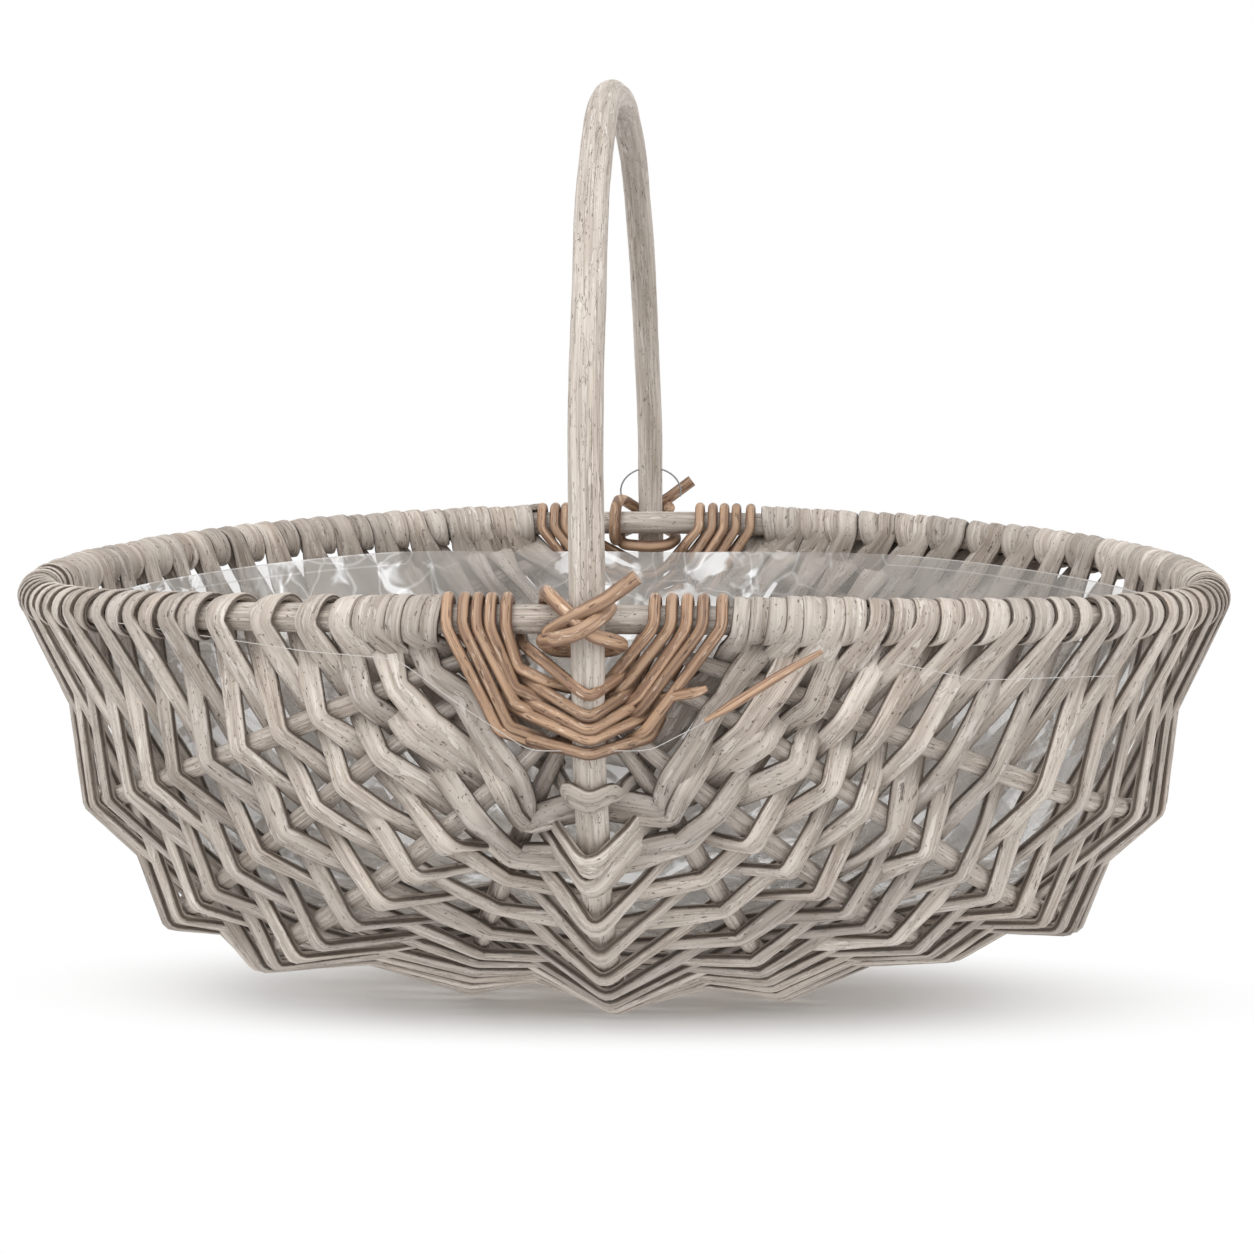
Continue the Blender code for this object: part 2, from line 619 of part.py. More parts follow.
def add_liner(weave, material):
    """The lining: sections from ear to ear, with a flat gusset that closes each end."""
    rows = [
        LINER_FIRST_ROW + (ROWS_PER_HALF - 0.5 - LINER_FIRST_ROW) * index / LINER_SECTIONS
        for index in range(LINER_SECTIONS + 1)
    ]
    sections = [liner_section(weave, row) for row in rows]
    sections += [mirrored(section) for section in reversed(sections[:-1])]
    body = bmesh.new()
    rings = [[body.verts.new(point) for point in section] for section in sections]
    for before, after in zip(rings, rings[1:]):
        for index in range(len(before) - 1):
            body.faces.new((before[index], before[index + 1], after[index + 1], after[index]))
    for ring, flip in ((rings[0], True), (rings[-1], False)):
        count = len(ring) - 1
        edge = [ring[0]]
        for index in range(1, count):
            edge.append(body.verts.new(ring[0].co.lerp(ring[-1].co, index / count)))
        edge.append(ring[-1])
        for index in range(count):
            corners = [ring[index], ring[index + 1], edge[index + 1], edge[index]]
            corners = [corner for place, corner in enumerate(corners) if corner not in corners[:place]]
            body.faces.new(corners[::-1] if not flip else corners)
    bmesh.ops.recalc_face_normals(body, faces=body.faces)
    mesh = bpy.data.meshes.new("film_liner")
    body.to_mesh(mesh)
    body.free()
    liner = bpy.data.objects.new("film_liner", mesh)
    mesh.materials.append(material)
    bpy.data.collections[COLLECTION_NAME].objects.link(liner)
    wall = liner.modifiers.new("film", "SOLIDIFY")
    wall.thickness = LINER_THICKNESS
    wall.offset = 0


def clear_scene():
    for item in list(bpy.data.objects):
        bpy.data.objects.remove(item)


def main():
    clear_scene()
    collection = bpy.data.collections.new(COLLECTION_NAME)
    bpy.context.scene.collection.children.link(collection)
    grey = make_material("grey_willow", GREY_WILLOW, GREY_ROUGHNESS)
    handle_grey = make_material("grey_handle", GREY_HANDLE, HANDLE_ROUGHNESS)
    brown = make_material("brown_willow", BROWN_WILLOW, BROWN_ROUGHNESS)
    film = make_material("clear_film", CLEAR_FILM, FILM_ROUGHNESS, FILM_ALPHA)
    weave = Weave()
    add_frame(grey, handle_grey)
    add_weavers(weave, grey)
    add_lashings(weave, brown)
    add_liner(weave, film)


main()
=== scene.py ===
"""Looks of a willow harvest basket: weave, bark, lashings and film lining, and the studio that it stands in.

Lengths are in metres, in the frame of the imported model: X along the basket, -Y to the front, Z up.
"""

import math

import bpy
import numpy as np
from bpy.props import FloatProperty, FloatVectorProperty, IntProperty, PointerProperty
from mathutils import Matrix, Vector


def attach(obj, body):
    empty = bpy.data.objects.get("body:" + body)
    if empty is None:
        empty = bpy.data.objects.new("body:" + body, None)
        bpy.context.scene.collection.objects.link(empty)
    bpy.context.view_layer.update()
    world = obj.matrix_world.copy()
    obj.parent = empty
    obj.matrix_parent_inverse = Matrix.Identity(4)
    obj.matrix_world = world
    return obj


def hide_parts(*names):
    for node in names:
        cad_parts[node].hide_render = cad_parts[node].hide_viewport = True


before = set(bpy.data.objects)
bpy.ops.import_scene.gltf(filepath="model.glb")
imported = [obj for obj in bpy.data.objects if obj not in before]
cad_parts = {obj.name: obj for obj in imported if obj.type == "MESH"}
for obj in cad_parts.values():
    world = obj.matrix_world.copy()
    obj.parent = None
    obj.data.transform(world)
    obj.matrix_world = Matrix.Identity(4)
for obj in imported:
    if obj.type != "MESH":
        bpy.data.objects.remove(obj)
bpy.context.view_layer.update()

bl_info = {
    "name": "Harvest basket",
    "version": (1, 0, 0),
    "blender": (4, 5, 0),
    "location": "3D View > Sidebar > Basket",
    "description": "Weaves and finishes a ribbed willow basket round its packed frame",
    "category": "Add Mesh",
}

UP = np.array((0.0, 0.0, 1.0))
FRONT, BACK = "front", "back"
LEFT, RIGHT = -1, 1
SIDE_WORDS = {LEFT: "left", RIGHT: "right"}

# Rim hoop, seen from above an oval that sags a little towards its two tips
RIM_RADIUS = 0.00685
RIM_HALF_LENGTH = 0.300
RIM_HALF_WIDTH = 0.2503
RIM_ROUNDNESS = 2.25
RIM_HEIGHT = 0.2273
RIM_SAG = 0.0113

# Handle hoop: the upper arch is the handle, the lower arch is the keel
HANDLE_RADIUS_FRONT = 0.0084
HANDLE_RADIUS_BACK = 0.0074
HANDLE_RISE = 0.2416
HANDLE_ROUNDNESS = 2.30
HANDLE_LEAN = -0.0044
KEEL_RADIUS = 0.0078
KEEL_ROUNDNESS = 2.22
KEEL_LEAN = 0.0024
KEEL_HEIGHT = 0.0137
HOOP_HALF_WIDTH = RIM_HALF_WIDTH + RIM_RADIUS + HANDLE_RADIUS_FRONT + 0.0004

# Ribs, from the highest to the lowest: how far they reach on each side, where they end behind the ear,
# how low they hang in the middle, and the two powers of their bow
RIB_RADIUS = 0.0052
RIB_END_RADIUS = 0.0030
RIB_TAPER = 0.060
RIB_COUNT = 4
RIB_INSET = {1: 0.0073, 2: 0.0073, 3: 0.0033, 4: 0.0033}
RIB_END_OFFSET = {1: 0.028, 2: 0.028, 3: 0.005, 4: 0.005}
RIB_END_DROP = {
    LEFT: {1: 0.0105, 2: 0.0190, 3: 0.0335, 4: 0.0440}, RIGHT: {1: 0.0144, 2: 0.0285, 3: 0.0417, 4: 0.0514},
}
RIB_REACH = {LEFT: {1: 0.266, 2: 0.225, 3: 0.186, 4: 0.079}, RIGHT: {1: 0.270, 2: 0.231, 3: 0.176, 4: 0.087}}
RIB_LOW = {1: 0.1124, 2: 0.0526, 3: 0.0369, 4: 0.0108}
RIB_ROUNDNESS = {LEFT: {1: 2.42, 2: 2.43, 3: 2.37, 4: 1.62}, RIGHT: {1: 2.38, 2: 2.14, 3: 1.91, 4: 1.79}}
RIB_DROP_POWER = {LEFT: {1: 1.15, 2: 1.14, 3: 0.81, 4: 1.13}, RIGHT: {1: 1.17, 2: 1.22, 3: 1.01, 4: 1.38}}

# Rows of the weave on each half, and where the marked ones cross each line, in millimetres from the ear.
# The place one half row after the last is the middle of the basket.
ROWS = 32
# For the rows below each number: +1 where odd rows pass outside, from the highest rib down to the keel
SIDE_PATTERNS = (
    (2, (1, 1, 1, 1, -1)), (4, (1, 1, -1, -1, 1)), (6, (1, -1, 1, 1, -1)), (ROWS, (1, -1, 1, -1, 1)),
)
ROWS_IN_EACH_ROD = (4, 4, 3, 3, 3, 3, 3, 3, 3, 3)
MARKED_ROWS = (-0.5, 0, 1, 2, 3, 4, 5, 6, 8, 10, 14, 20, 31.5)
ROW_PLACES = {
    "rim": (75.2, 79.2, 87.2, 95.2, 103.2, 111.1, 119.1, 130.7, 153.8, 177, 225, 300, 442.6),
    (1, LEFT): (29, 34, 44.5, 54, 63, 71, 79, 88.5, 111, 135, 178, 240, 409),
    (2, LEFT): (16, 21, 33, 44, 53, 60.5, 67, 79, 101, 121.5, 161, 226, 395),
    (3, LEFT): (26, 32, 45, 52, 57.5, 64.5, 70, 79, 100, 118, 162, 240, 383),
    (4, LEFT): (36.5, 41.7, 54.8, 61.5, 67, 74, 80, 87, 104, 131, 187, 233, 326),
    "keel": (77.6, 81, 88.3, 97, 106, 120, 127, 134, 160, 188, 238, 295, 384),
    (4, RIGHT): (33, 37.5, 46.5, 51.5, 56, 61.5, 67, 74, 98, 128, 186, 233, 326),
    (3, RIGHT): (26, 32, 45, 52, 57.5, 64.5, 70, 80, 109, 133.5, 181, 258, 383),
    (2, RIGHT): (15, 20, 30, 39, 48, 57, 64.5, 76, 94, 112, 157, 238, 395),
    (1, RIGHT): (28, 32, 39, 47, 57, 66.8, 74.5, 82, 99, 114, 155.5, 238, 409),
}
SETTLING_PASSES = 12
MOST_BULGE = 2.5

# The first row meets the keel steeply and goes round it over three corners
KEEL_STEP = math.radians(50)
KEEL_STEP_RISE = 0.004

# Strand widths, and what a strand does half way between two ribs: it bows and twists, and is a little wider
WIDTH_SPREAD = 0.11
WIDTHS_BY_ROW = ((0, 1.5, 5, 12, ROWS), (1.32, 1.28, 1.12, 1.0, 0.86))
FULL_BOW_RUN = 0.05
RUN_TWIST = 0.18
RUN_WIDTH = 1.10
RUN_WIDTH_SPREAD = 0.12
RUN_BEND = 0.08

# Wraps over the rim. A hook has one more turn round it, except those listed as (half, side, row before it).
# The wraps that start the first row and end the last one are given as turns, and how far they reach before
# and after the row's place on the rim, in row spacings.
HOOK_STEP = math.radians(40)
WRAP_TURN = math.radians(360)
WRAP_WIDTH_SPREAD = 0.08
RIM_SPREAD = {FRONT: 1.25, BACK: 1.6}
PLAIN_HOOKS = {(FRONT, LEFT, 5), (FRONT, LEFT, 7), (FRONT, LEFT, 9)}
PLAIN_STRETCH = 1.3
TRIPLE_HOOKS = {(FRONT, RIGHT, 0), (BACK, RIGHT, 0)}
TRIPLE_SHIFT = 0.6
FIRST_WRAPS = (1.45, 1.15, 0.3)
LAST_WRAPS = (-0.95, 0.5, 0.4)
RAMP_MOST = 0.45
RAMP_DEPTH = 0.9
RAMP_BEND = 0.05

ARCH_POINTS = 601
DIRECTION_STEP = 0.002
CORNER_SHARES = np.linspace(0, 1, 9)[:, None]
CORNER_WEIGHTS = ((1 - CORNER_SHARES) ** 2, 2 * CORNER_SHARES * (1 - CORNER_SHARES), CORNER_SHARES**2)
CORNER_MOST = 0.49
HALF_TURN_MOST = 1.4
ROD_STEP = 0.0025
LEAST_STEP = 1e-7
TINY = 1e-9
MIRROR = (1, -1, 1, 1, 1, 1, -1, 1, 1)


def unit(vector):
    return vector / max(np.linalg.norm(vector), TINY)


def distances_along(points):
    """How far each point lies from the first one, on the way through them."""
    steps = np.linalg.norm(np.diff(points[:, :3], axis=0), axis=1)
    return np.concatenate(([0.0], np.cumsum(steps)))


class Line:
    """A centre line, read by the distance along it from its front end."""

    def __init__(self, points):
        self.points = points
        self.marks = distances_along(points)
        self.length = self.marks[-1]

    def at(self, distance):
        return np.array([np.interp(distance, self.marks, column) for column in self.points.T]).T

    def along(self, distance):
        return unit(self.at(distance + DIRECTION_STEP) - self.at(distance - DIRECTION_STEP))


def arch(half_width, end, middle, roundness, drop_power):
    """A bowed rod from the front ear to the back ear. The end and the middle are (x, z) places."""
    turn = np.linspace(-math.pi / 2, math.pi / 2, ARCH_POINTS)
    outward = np.abs(np.cos(turn)) ** (2 / roundness)
    across = np.sign(np.sin(turn)) * np.abs(np.sin(turn)) ** (2 / roundness)
    x = end[0] + (middle[0] - end[0]) * outward
    z = end[1] + (middle[1] - end[1]) * outward**drop_power
    return Line(np.column_stack((x, half_width * across, z)))


def rib_line(number, side):
    return arch(
        RIM_HALF_WIDTH - RIB_INSET[number],
        (side * RIB_END_OFFSET[number], RIM_HEIGHT - RIB_END_DROP[side][number]),
        (side * RIB_REACH[side][number], RIB_LOW[number]),
        RIB_ROUNDNESS[side][number], RIB_DROP_POWER[side][number],
    )


EAR = (0, RIM_HEIGHT)
BASKET_MIDDLE = np.array((0, 0, RIM_HEIGHT))
RIM_LINES = {
    side: arch(RIM_HALF_WIDTH, EAR, (side * RIM_HALF_LENGTH, RIM_HEIGHT - RIM_SAG), RIM_ROUNDNESS, 2)
    for side in (LEFT, RIGHT)
}
KEEL_LINE = arch(HOOP_HALF_WIDTH, EAR, (KEEL_LEAN, KEEL_HEIGHT), KEEL_ROUNDNESS, 1)
HANDLE_LINE = arch(HOOP_HALF_WIDTH, EAR, (HANDLE_LEAN, RIM_HEIGHT + HANDLE_RISE), HANDLE_ROUNDNESS, 1)
RIBS = [(number, side) for number in range(1, RIB_COUNT + 1) for side in (LEFT, RIGHT)]
RIB_LINES = {rib: rib_line(*rib) for rib in RIBS}
STATIONS = [*RIBS[::2], "keel", *RIBS[:0:-2]]
STATION_LINES = {**RIB_LINES, "keel": KEEL_LINE}
NO_SHIFTS = dict.fromkeys(STATIONS, 0.0)


def rib_radius(distance_to_end):
    return RIB_END_RADIUS + (RIB_RADIUS - RIB_END_RADIUS) * np.minimum(1.0, distance_to_end / RIB_TAPER)


def row_distance(line, places, row):
    """How far from the front ear a row crosses a line."""
    return np.interp(row, MARKED_ROWS, places) / places[-1] * line.length / 2


def rim_distance(side, row):
    return row_distance(RIM_LINES[side], ROW_PLACES["rim"], row)


def rim_place(side, distance):
    """The rim's centre at a distance from the front ear, and the direction out of the basket there."""
    line = RIM_LINES[side]
    centre = line.at(distance)
    outward = np.cross(line.along(distance), UP)
    return centre, unit(outward if outward @ centre > 0 else -outward)


def crossings(row, shifts=NO_SHIFTS):
    """Where a row crosses the ribs and the keel: centres, directions and radii, from left to right."""
    centres, directions, radii = [], [], []
    for station in STATIONS:
        line = STATION_LINES[station]
        distance = row_distance(line, ROW_PLACES[station], row) + shifts[station]
        centres.append(line.at(distance))
        directions.append(line.along(distance))
        radii.append(KEEL_RADIUS if station == "keel" else rib_radius(distance))
    return centres, directions, radii


def outward_directions(chain, directions):
    """The direction out of the basket at each crossing of a row. The chain also holds the row's two ends."""
    found = []
    for index, direction in enumerate(directions):
        outward = unit(np.cross(direction, chain[index + 2] - chain[index]))
        found.append(outward if outward @ (chain[index + 1] - BASKET_MIDDLE) > 0 else -outward)
    return found


def line_gap(centre, along, point, direction):
    """Distance between two lines, each given by a point and a direction."""
    across = np.cross(along, direction)
    return abs((point - centre) @ across) / max(np.linalg.norm(across), TINY)


class Route:
    """The knots of a rod: place, half width, half depth, face and row of each, and how round it bends."""

    def __init__(self):
        self.knots, self.bends = [], []

    def add(self, place, width, depth, face, bend, row=0.0):
        self.knots.append([*place, width, depth, *face, row])
        self.bends.append(bend)

    def smooth(self, step=ROD_STEP):
        """The rod's centre line at even steps, with rounded corners. The columns are those of the knots."""
        knots = np.array(self.knots, float)
        runs = [knots[:1]]
        for index in range(1, len(knots) - 1):
            before, here, after = knots[index - 1:index + 2]
            back, on = before[:3] - here[:3], after[:3] - here[:3]
            back_length, on_length = np.linalg.norm(back), np.linalg.norm(on)
            cosine = np.clip(back @ on / (back_length * on_length), -1, 1)
            half_turn = (math.pi - math.acos(cosine)) / 2
            reach = self.bends[index] * math.tan(min(half_turn, HALF_TURN_MOST))
            reach = min(reach, CORNER_MOST * back_length, CORNER_MOST * on_length)
            first = here + (before - here) * reach / back_length
            last = here + (after - here) * reach / on_length
            runs.append(sum(weight * place for weight, place in zip(CORNER_WEIGHTS, (first, here, last))))
        dense = np.vstack((*runs, knots[-1:]))
        gaps = np.linalg.norm(np.diff(dense[:, :3], axis=0), axis=1)
        line = Line(dense[np.concatenate(([True], gaps > LEAST_STEP))])
        return line.at(np.linspace(0, line.length, max(2, round(line.length / step)) + 1))


class Weave:
    """The grey strands of one half of the basket, in the place of the front half."""

    def __init__(self, half, sizes, rng):
        self.half, self.sizes, self.rng = half, sizes, rng
        self.shift = {station: rng.normal(0, sizes.row_jitter, ROWS) for station in STATIONS}
        self.strand_width = sizes.half_width * (1 + rng.normal(0, WIDTH_SPREAD, ROWS))
        self.strand_width *= np.interp(np.arange(ROWS), *WIDTHS_BY_ROW)

    def sides_of(self, row):
        """+1 where a row passes outside a rib or the keel, -1 where it passes inside, from left to right."""
        pattern = next(pattern for end, pattern in SIDE_PATTERNS if row < end)
        half = [side if row % 2 else -side for side in pattern]
        return half + half[-2::-1]

    def row_knots(self, row):
        """The knots of a row between its two hooks, from left to right, pulled tight round ribs and keel."""
        centres, directions, radii = crossings(row, {name: shift[row] for name, shift in self.shift.items()})
        left, right = [rim_place(side, rim_distance(side, row)) for side in (LEFT, RIGHT)]
        outwards = outward_directions([left[0], *centres, right[0]], directions)
        outside = 1 if row % 2 == 0 else -1
        ends = [centre + outward * outside * self.sizes.rim_reach for centre, outward in (left, right)]
        width, depth = self.strand_width[row], self.sizes.half_depth
        lifts = [outward * side for outward, side in zip(outwards, self.sides_of(row))]
        reaches = [radius + depth + self.sizes.gap for radius in radii]
        heights = list(reaches)
        for _ in range(SETTLING_PASSES):
            places = [centre + lift * height for centre, lift, height in zip(centres, lifts, heights)]
            chain = [ends[0], *places, ends[1]]
            for index, centre in enumerate(centres):
                here, reach = places[index], reaches[index]
                beside = (chain[index] - here, chain[index + 2] - here)
                gap = min(line_gap(centre, directions[index], here, run) for run in beside)
                wanted = heights[index] * reach / max(gap, reach / 2)
                heights[index] = min(max(wanted, reach), reach * MOST_BULGE)
        places = [centre + lift * height for centre, lift, height in zip(centres, lifts, heights)]
        knots = []
        for index, place in enumerate(places):
            if row == 0 and index == RIB_COUNT:
                knots += self.round_keel(centres[index], directions[index], width, depth, reaches[index])
            else:
                bend = reaches[index] * self.sizes.bend
                knots.append((place, width, depth, outwards[index] * outside, bend))
            if index + 1 < len(places):
                run = places[index + 1] - place
                normal = unit(outwards[index] + outwards[index + 1])
                side = unit(np.cross(run, normal))
                loose = min(1.0, np.linalg.norm(run) / FULL_BOW_RUN)
                middle = place + run / 2 + side * self.rng.normal(0, self.sizes.wander) * loose
                tilt = side * self.rng.normal(0, RUN_TWIST)
                swell = RUN_WIDTH + self.rng.normal(0, RUN_WIDTH_SPREAD)
                knots.append((middle, width * swell, depth, normal * outside + tilt, RUN_BEND))
        return knots

    def round_keel(self, centre, along, width, depth, reach):
        """The knots of the first row on its way round the front of the keel."""
        aside = np.array((1, 0, 0))
        forward = unit(np.cross(along, aside))
        forward = forward if forward[1] < 0 else -forward
        knots = []
        for step in (-1, 0, 1):
            radial = math.sin(step * KEEL_STEP) * aside + math.cos(step * KEEL_STEP) * forward
            place = centre + radial * reach / math.cos(KEEL_STEP / 2) - along * abs(step) * KEEL_STEP_RISE
            knots.append((place, width, depth, radial, reach))
        return knots

    def hook_knots(self, side, near, far, start, end):
        """A strap-like wrap round the rim between two angles. 0 is the outside and a quarter turn the top."""
        sizes = self.sizes
        count = max(2, math.ceil(abs(end - start) / HOOK_STEP))
        step = (end - start) / count
        width = sizes.wrap_half_width * (1 + self.rng.normal(0, WRAP_WIDTH_SPREAD))
        reach = (sizes.wrap_reach + self.rng.uniform(0, sizes.wrap_lift)) / math.cos(step / 2)
        knots = []
        for index in range(count):
            distance = near + (far - near) * ((index + 0.5) / count)
            centre, outward = rim_place(side, distance)
            angle = start + step * (index + 0.5)
            radial = math.cos(angle) * outward + math.sin(angle) * UP
            face = unit(radial + RIM_LINES[side].along(distance) * sizes.wrap_tilt)
            knots.append((centre + radial * reach, width, sizes.wrap_half_depth, face, reach))
        return knots

    def tangent_angle(self, side, distance, place, outside):
        """The angle at which a strand from a place meets its way round the rim."""
        centre, outward = rim_place(side, distance)
        level, fall = (place - centre) @ outward, (place - centre) @ UP
        middle = math.atan2(fall, level)
        spread = math.acos(min(1.0, self.sizes.wrap_reach / math.hypot(level, fall)))
        return middle + spread if outside else middle - spread + WRAP_TURN

    def hook(self, row, arriving, leaving):
        """The knots of the wrap that joins a row to the next one. Even rows end outside the rim."""
        from_outside = row % 2 == 0
        side = RIGHT if from_outside else LEFT
        near, far = rim_distance(side, row), rim_distance(side, row + 1)
        pitch = far - near
        place = (self.half, side, row)
        turns = 2 if place in TRIPLE_HOOKS else 0 if place in PLAIN_HOOKS else 1
        start = self.tangent_angle(side, near, arriving, from_outside)
        end = self.tangent_angle(side, far, leaving, not from_outside)
        end += turns * WRAP_TURN * (1 if from_outside else -1)
        advance = pitch * abs(end - start) / WRAP_TURN * (PLAIN_STRETCH if turns == 0 else 1)
        middle = (near + far) / 2 + self.rng.normal(0, self.sizes.wrap_jitter)
        middle -= (turns > 1) * pitch * TRIPLE_SHIFT
        return self.hook_knots(side, middle - advance / 2, middle + advance / 2, start, end)

    def end_wraps(self, row, meeting_place, turns, before, after):
        """The wraps on the left side from which the first row starts, or that end the last row."""
        distance = rim_distance(LEFT, row)
        pitch = rim_distance(LEFT, 1) - rim_distance(LEFT, 0)
        meeting = self.tangent_angle(LEFT, distance, meeting_place, row == 0)
        free_end = meeting + turns * WRAP_TURN
        angles = (free_end, meeting) if row == 0 else (meeting, free_end)
        return self.hook_knots(LEFT, distance - before * pitch, distance + after * pitch, *angles)

    def route(self):
        """One route for all rows. The row column tells where one rod ends and the next begins."""
        rows = [self.row_knots(row)[::1 if row % 2 == 0 else -1] for row in range(ROWS)]
        route = Route()
        for knot in self.end_wraps(0, rows[0][0][0], *FIRST_WRAPS):
            route.add(*knot, row=0)
        for row, knots in enumerate(rows):
            self.add_ramp(route, knots[0], row, np.array(route.knots[-1][:3]), np.array(route.knots[-1][5:8]))
            for knot in knots:
                route.add(*knot, row=row)
            if row + 1 == ROWS:
                hook, owner = self.end_wraps(row, knots[-1][0], *LAST_WRAPS), row
            else:
                hook, owner = self.hook(row, knots[-1][0], rows[row + 1][0][0]), row + (row % 2)
            self.add_ramp(route, knots[-1], row, hook[0][0], hook[0][3])
            for knot in hook:
                route.add(*knot, row=owner)
        return route

    def add_ramp(self, route, knot, row, rim_end, rim_face):
        """A knot near the rim between a hook and the first or last knot of a row, where the strap narrows."""
        place, width, depth, face, _ = knot
        run = place - rim_end
        ahead = unit(run)
        spot = rim_end + run * min(RAMP_MOST, self.sizes.ramp / np.linalg.norm(run))
        blended = unit(unit(rim_face - ahead * (rim_face @ ahead)) + face)
        route.add(spot, width * RIM_SPREAD[self.half], depth * RAMP_DEPTH, blended, RAMP_BEND, row=row)


# Rods as geometry

# What the rod tree reads at each point of a path, and the columns that hold it
ROD_FIELDS = (
    ("rod_half_width", 3, 4), ("rod_flat", 4, 5), ("rod_face", 5, 8), ("rod_side", 8, 11),
    ("rod_along", 11, 12), ("rod_tone", 12, 13),
)
SPARE_FIELDS = ("rod_centre", "rod_face", "rod_side", "rod_flat", "rod_half_width", "rod_along")


def swept_frame(columns):
    """Unit faces and sides of a rod at each of its points."""
    tangents = np.gradient(columns[:, :3], axis=0)
    tangents /= np.linalg.norm(tangents, axis=1)[:, None]
    faces = columns[:, 5:8]
    faces = faces - tangents * np.sum(faces * tangents, axis=1)[:, None]
    faces /= np.maximum(np.linalg.norm(faces, axis=1)[:, None], TINY)
    return faces, np.cross(tangents, faces)


def add_attribute(mesh, name, values):
    vector = values.ndim == 2 and values.shape[1] == 3
    attribute = mesh.attributes.new(name, "FLOAT_VECTOR" if vector else "FLOAT", "POINT")
    numbers = np.ascontiguousarray(values, np.float32).ravel()
    attribute.data.foreach_set("vector" if vector else "value", numbers)


def path_mesh(name, strands, offset, closed=False):
    """A mesh of edges along one or more rods, with what the rod tree needs at each point."""
    parts, edges = [], []
    for columns, tone in strands:
        start, count = sum(len(part) for part in parts), len(columns)
        edges += [(start + index, start + index + 1) for index in range(count - 1)]
        if closed:
            edges.append((start + count - 1, start))
        faces, sides = swept_frame(columns)
        along = offset + distances_along(columns)
        flat = columns[:, 4] / columns[:, 3]
        tones = np.broadcast_to(tone, count)
        parts.append(np.column_stack((columns[:, :4], flat, faces, sides, along, tones)))
    table = np.vstack(parts)
    mesh = bpy.data.meshes.new(name)
    mesh.from_pydata(table[:, :3].tolist(), edges, [])
    for field, first, end in ROD_FIELDS:
        add_attribute(mesh, field, table[:, first:end])
    return mesh


VECTOR_TYPES = ("VECTOR", "RGBA")


def is_vector(item):
    return item.socket.type in VECTOR_TYPES if isinstance(item, Value) else isinstance(item, tuple)


def joined(operation, swapped=False):
    """What an arithmetic sign does with a value and what stands beside it."""

    def join(value, other):
        pair = (other, value) if swapped else (value, other)
        kind = "ShaderNodeVectorMath" if is_vector(value) or is_vector(other) else "ShaderNodeMath"
        return value.nodes.add(kind, {"operation": operation}, dict(enumerate(pair)))

    return join


class Value:
    """A socket in a node tree that takes part in sums and products."""

    def __init__(self, nodes, socket):
        self.nodes, self.socket = nodes, socket

    __add__, __radd__ = joined("ADD"), joined("ADD", swapped=True)
    __sub__, __rsub__ = joined("SUBTRACT"), joined("SUBTRACT", swapped=True)
    __mul__, __rmul__ = joined("MULTIPLY"), joined("MULTIPLY", swapped=True)


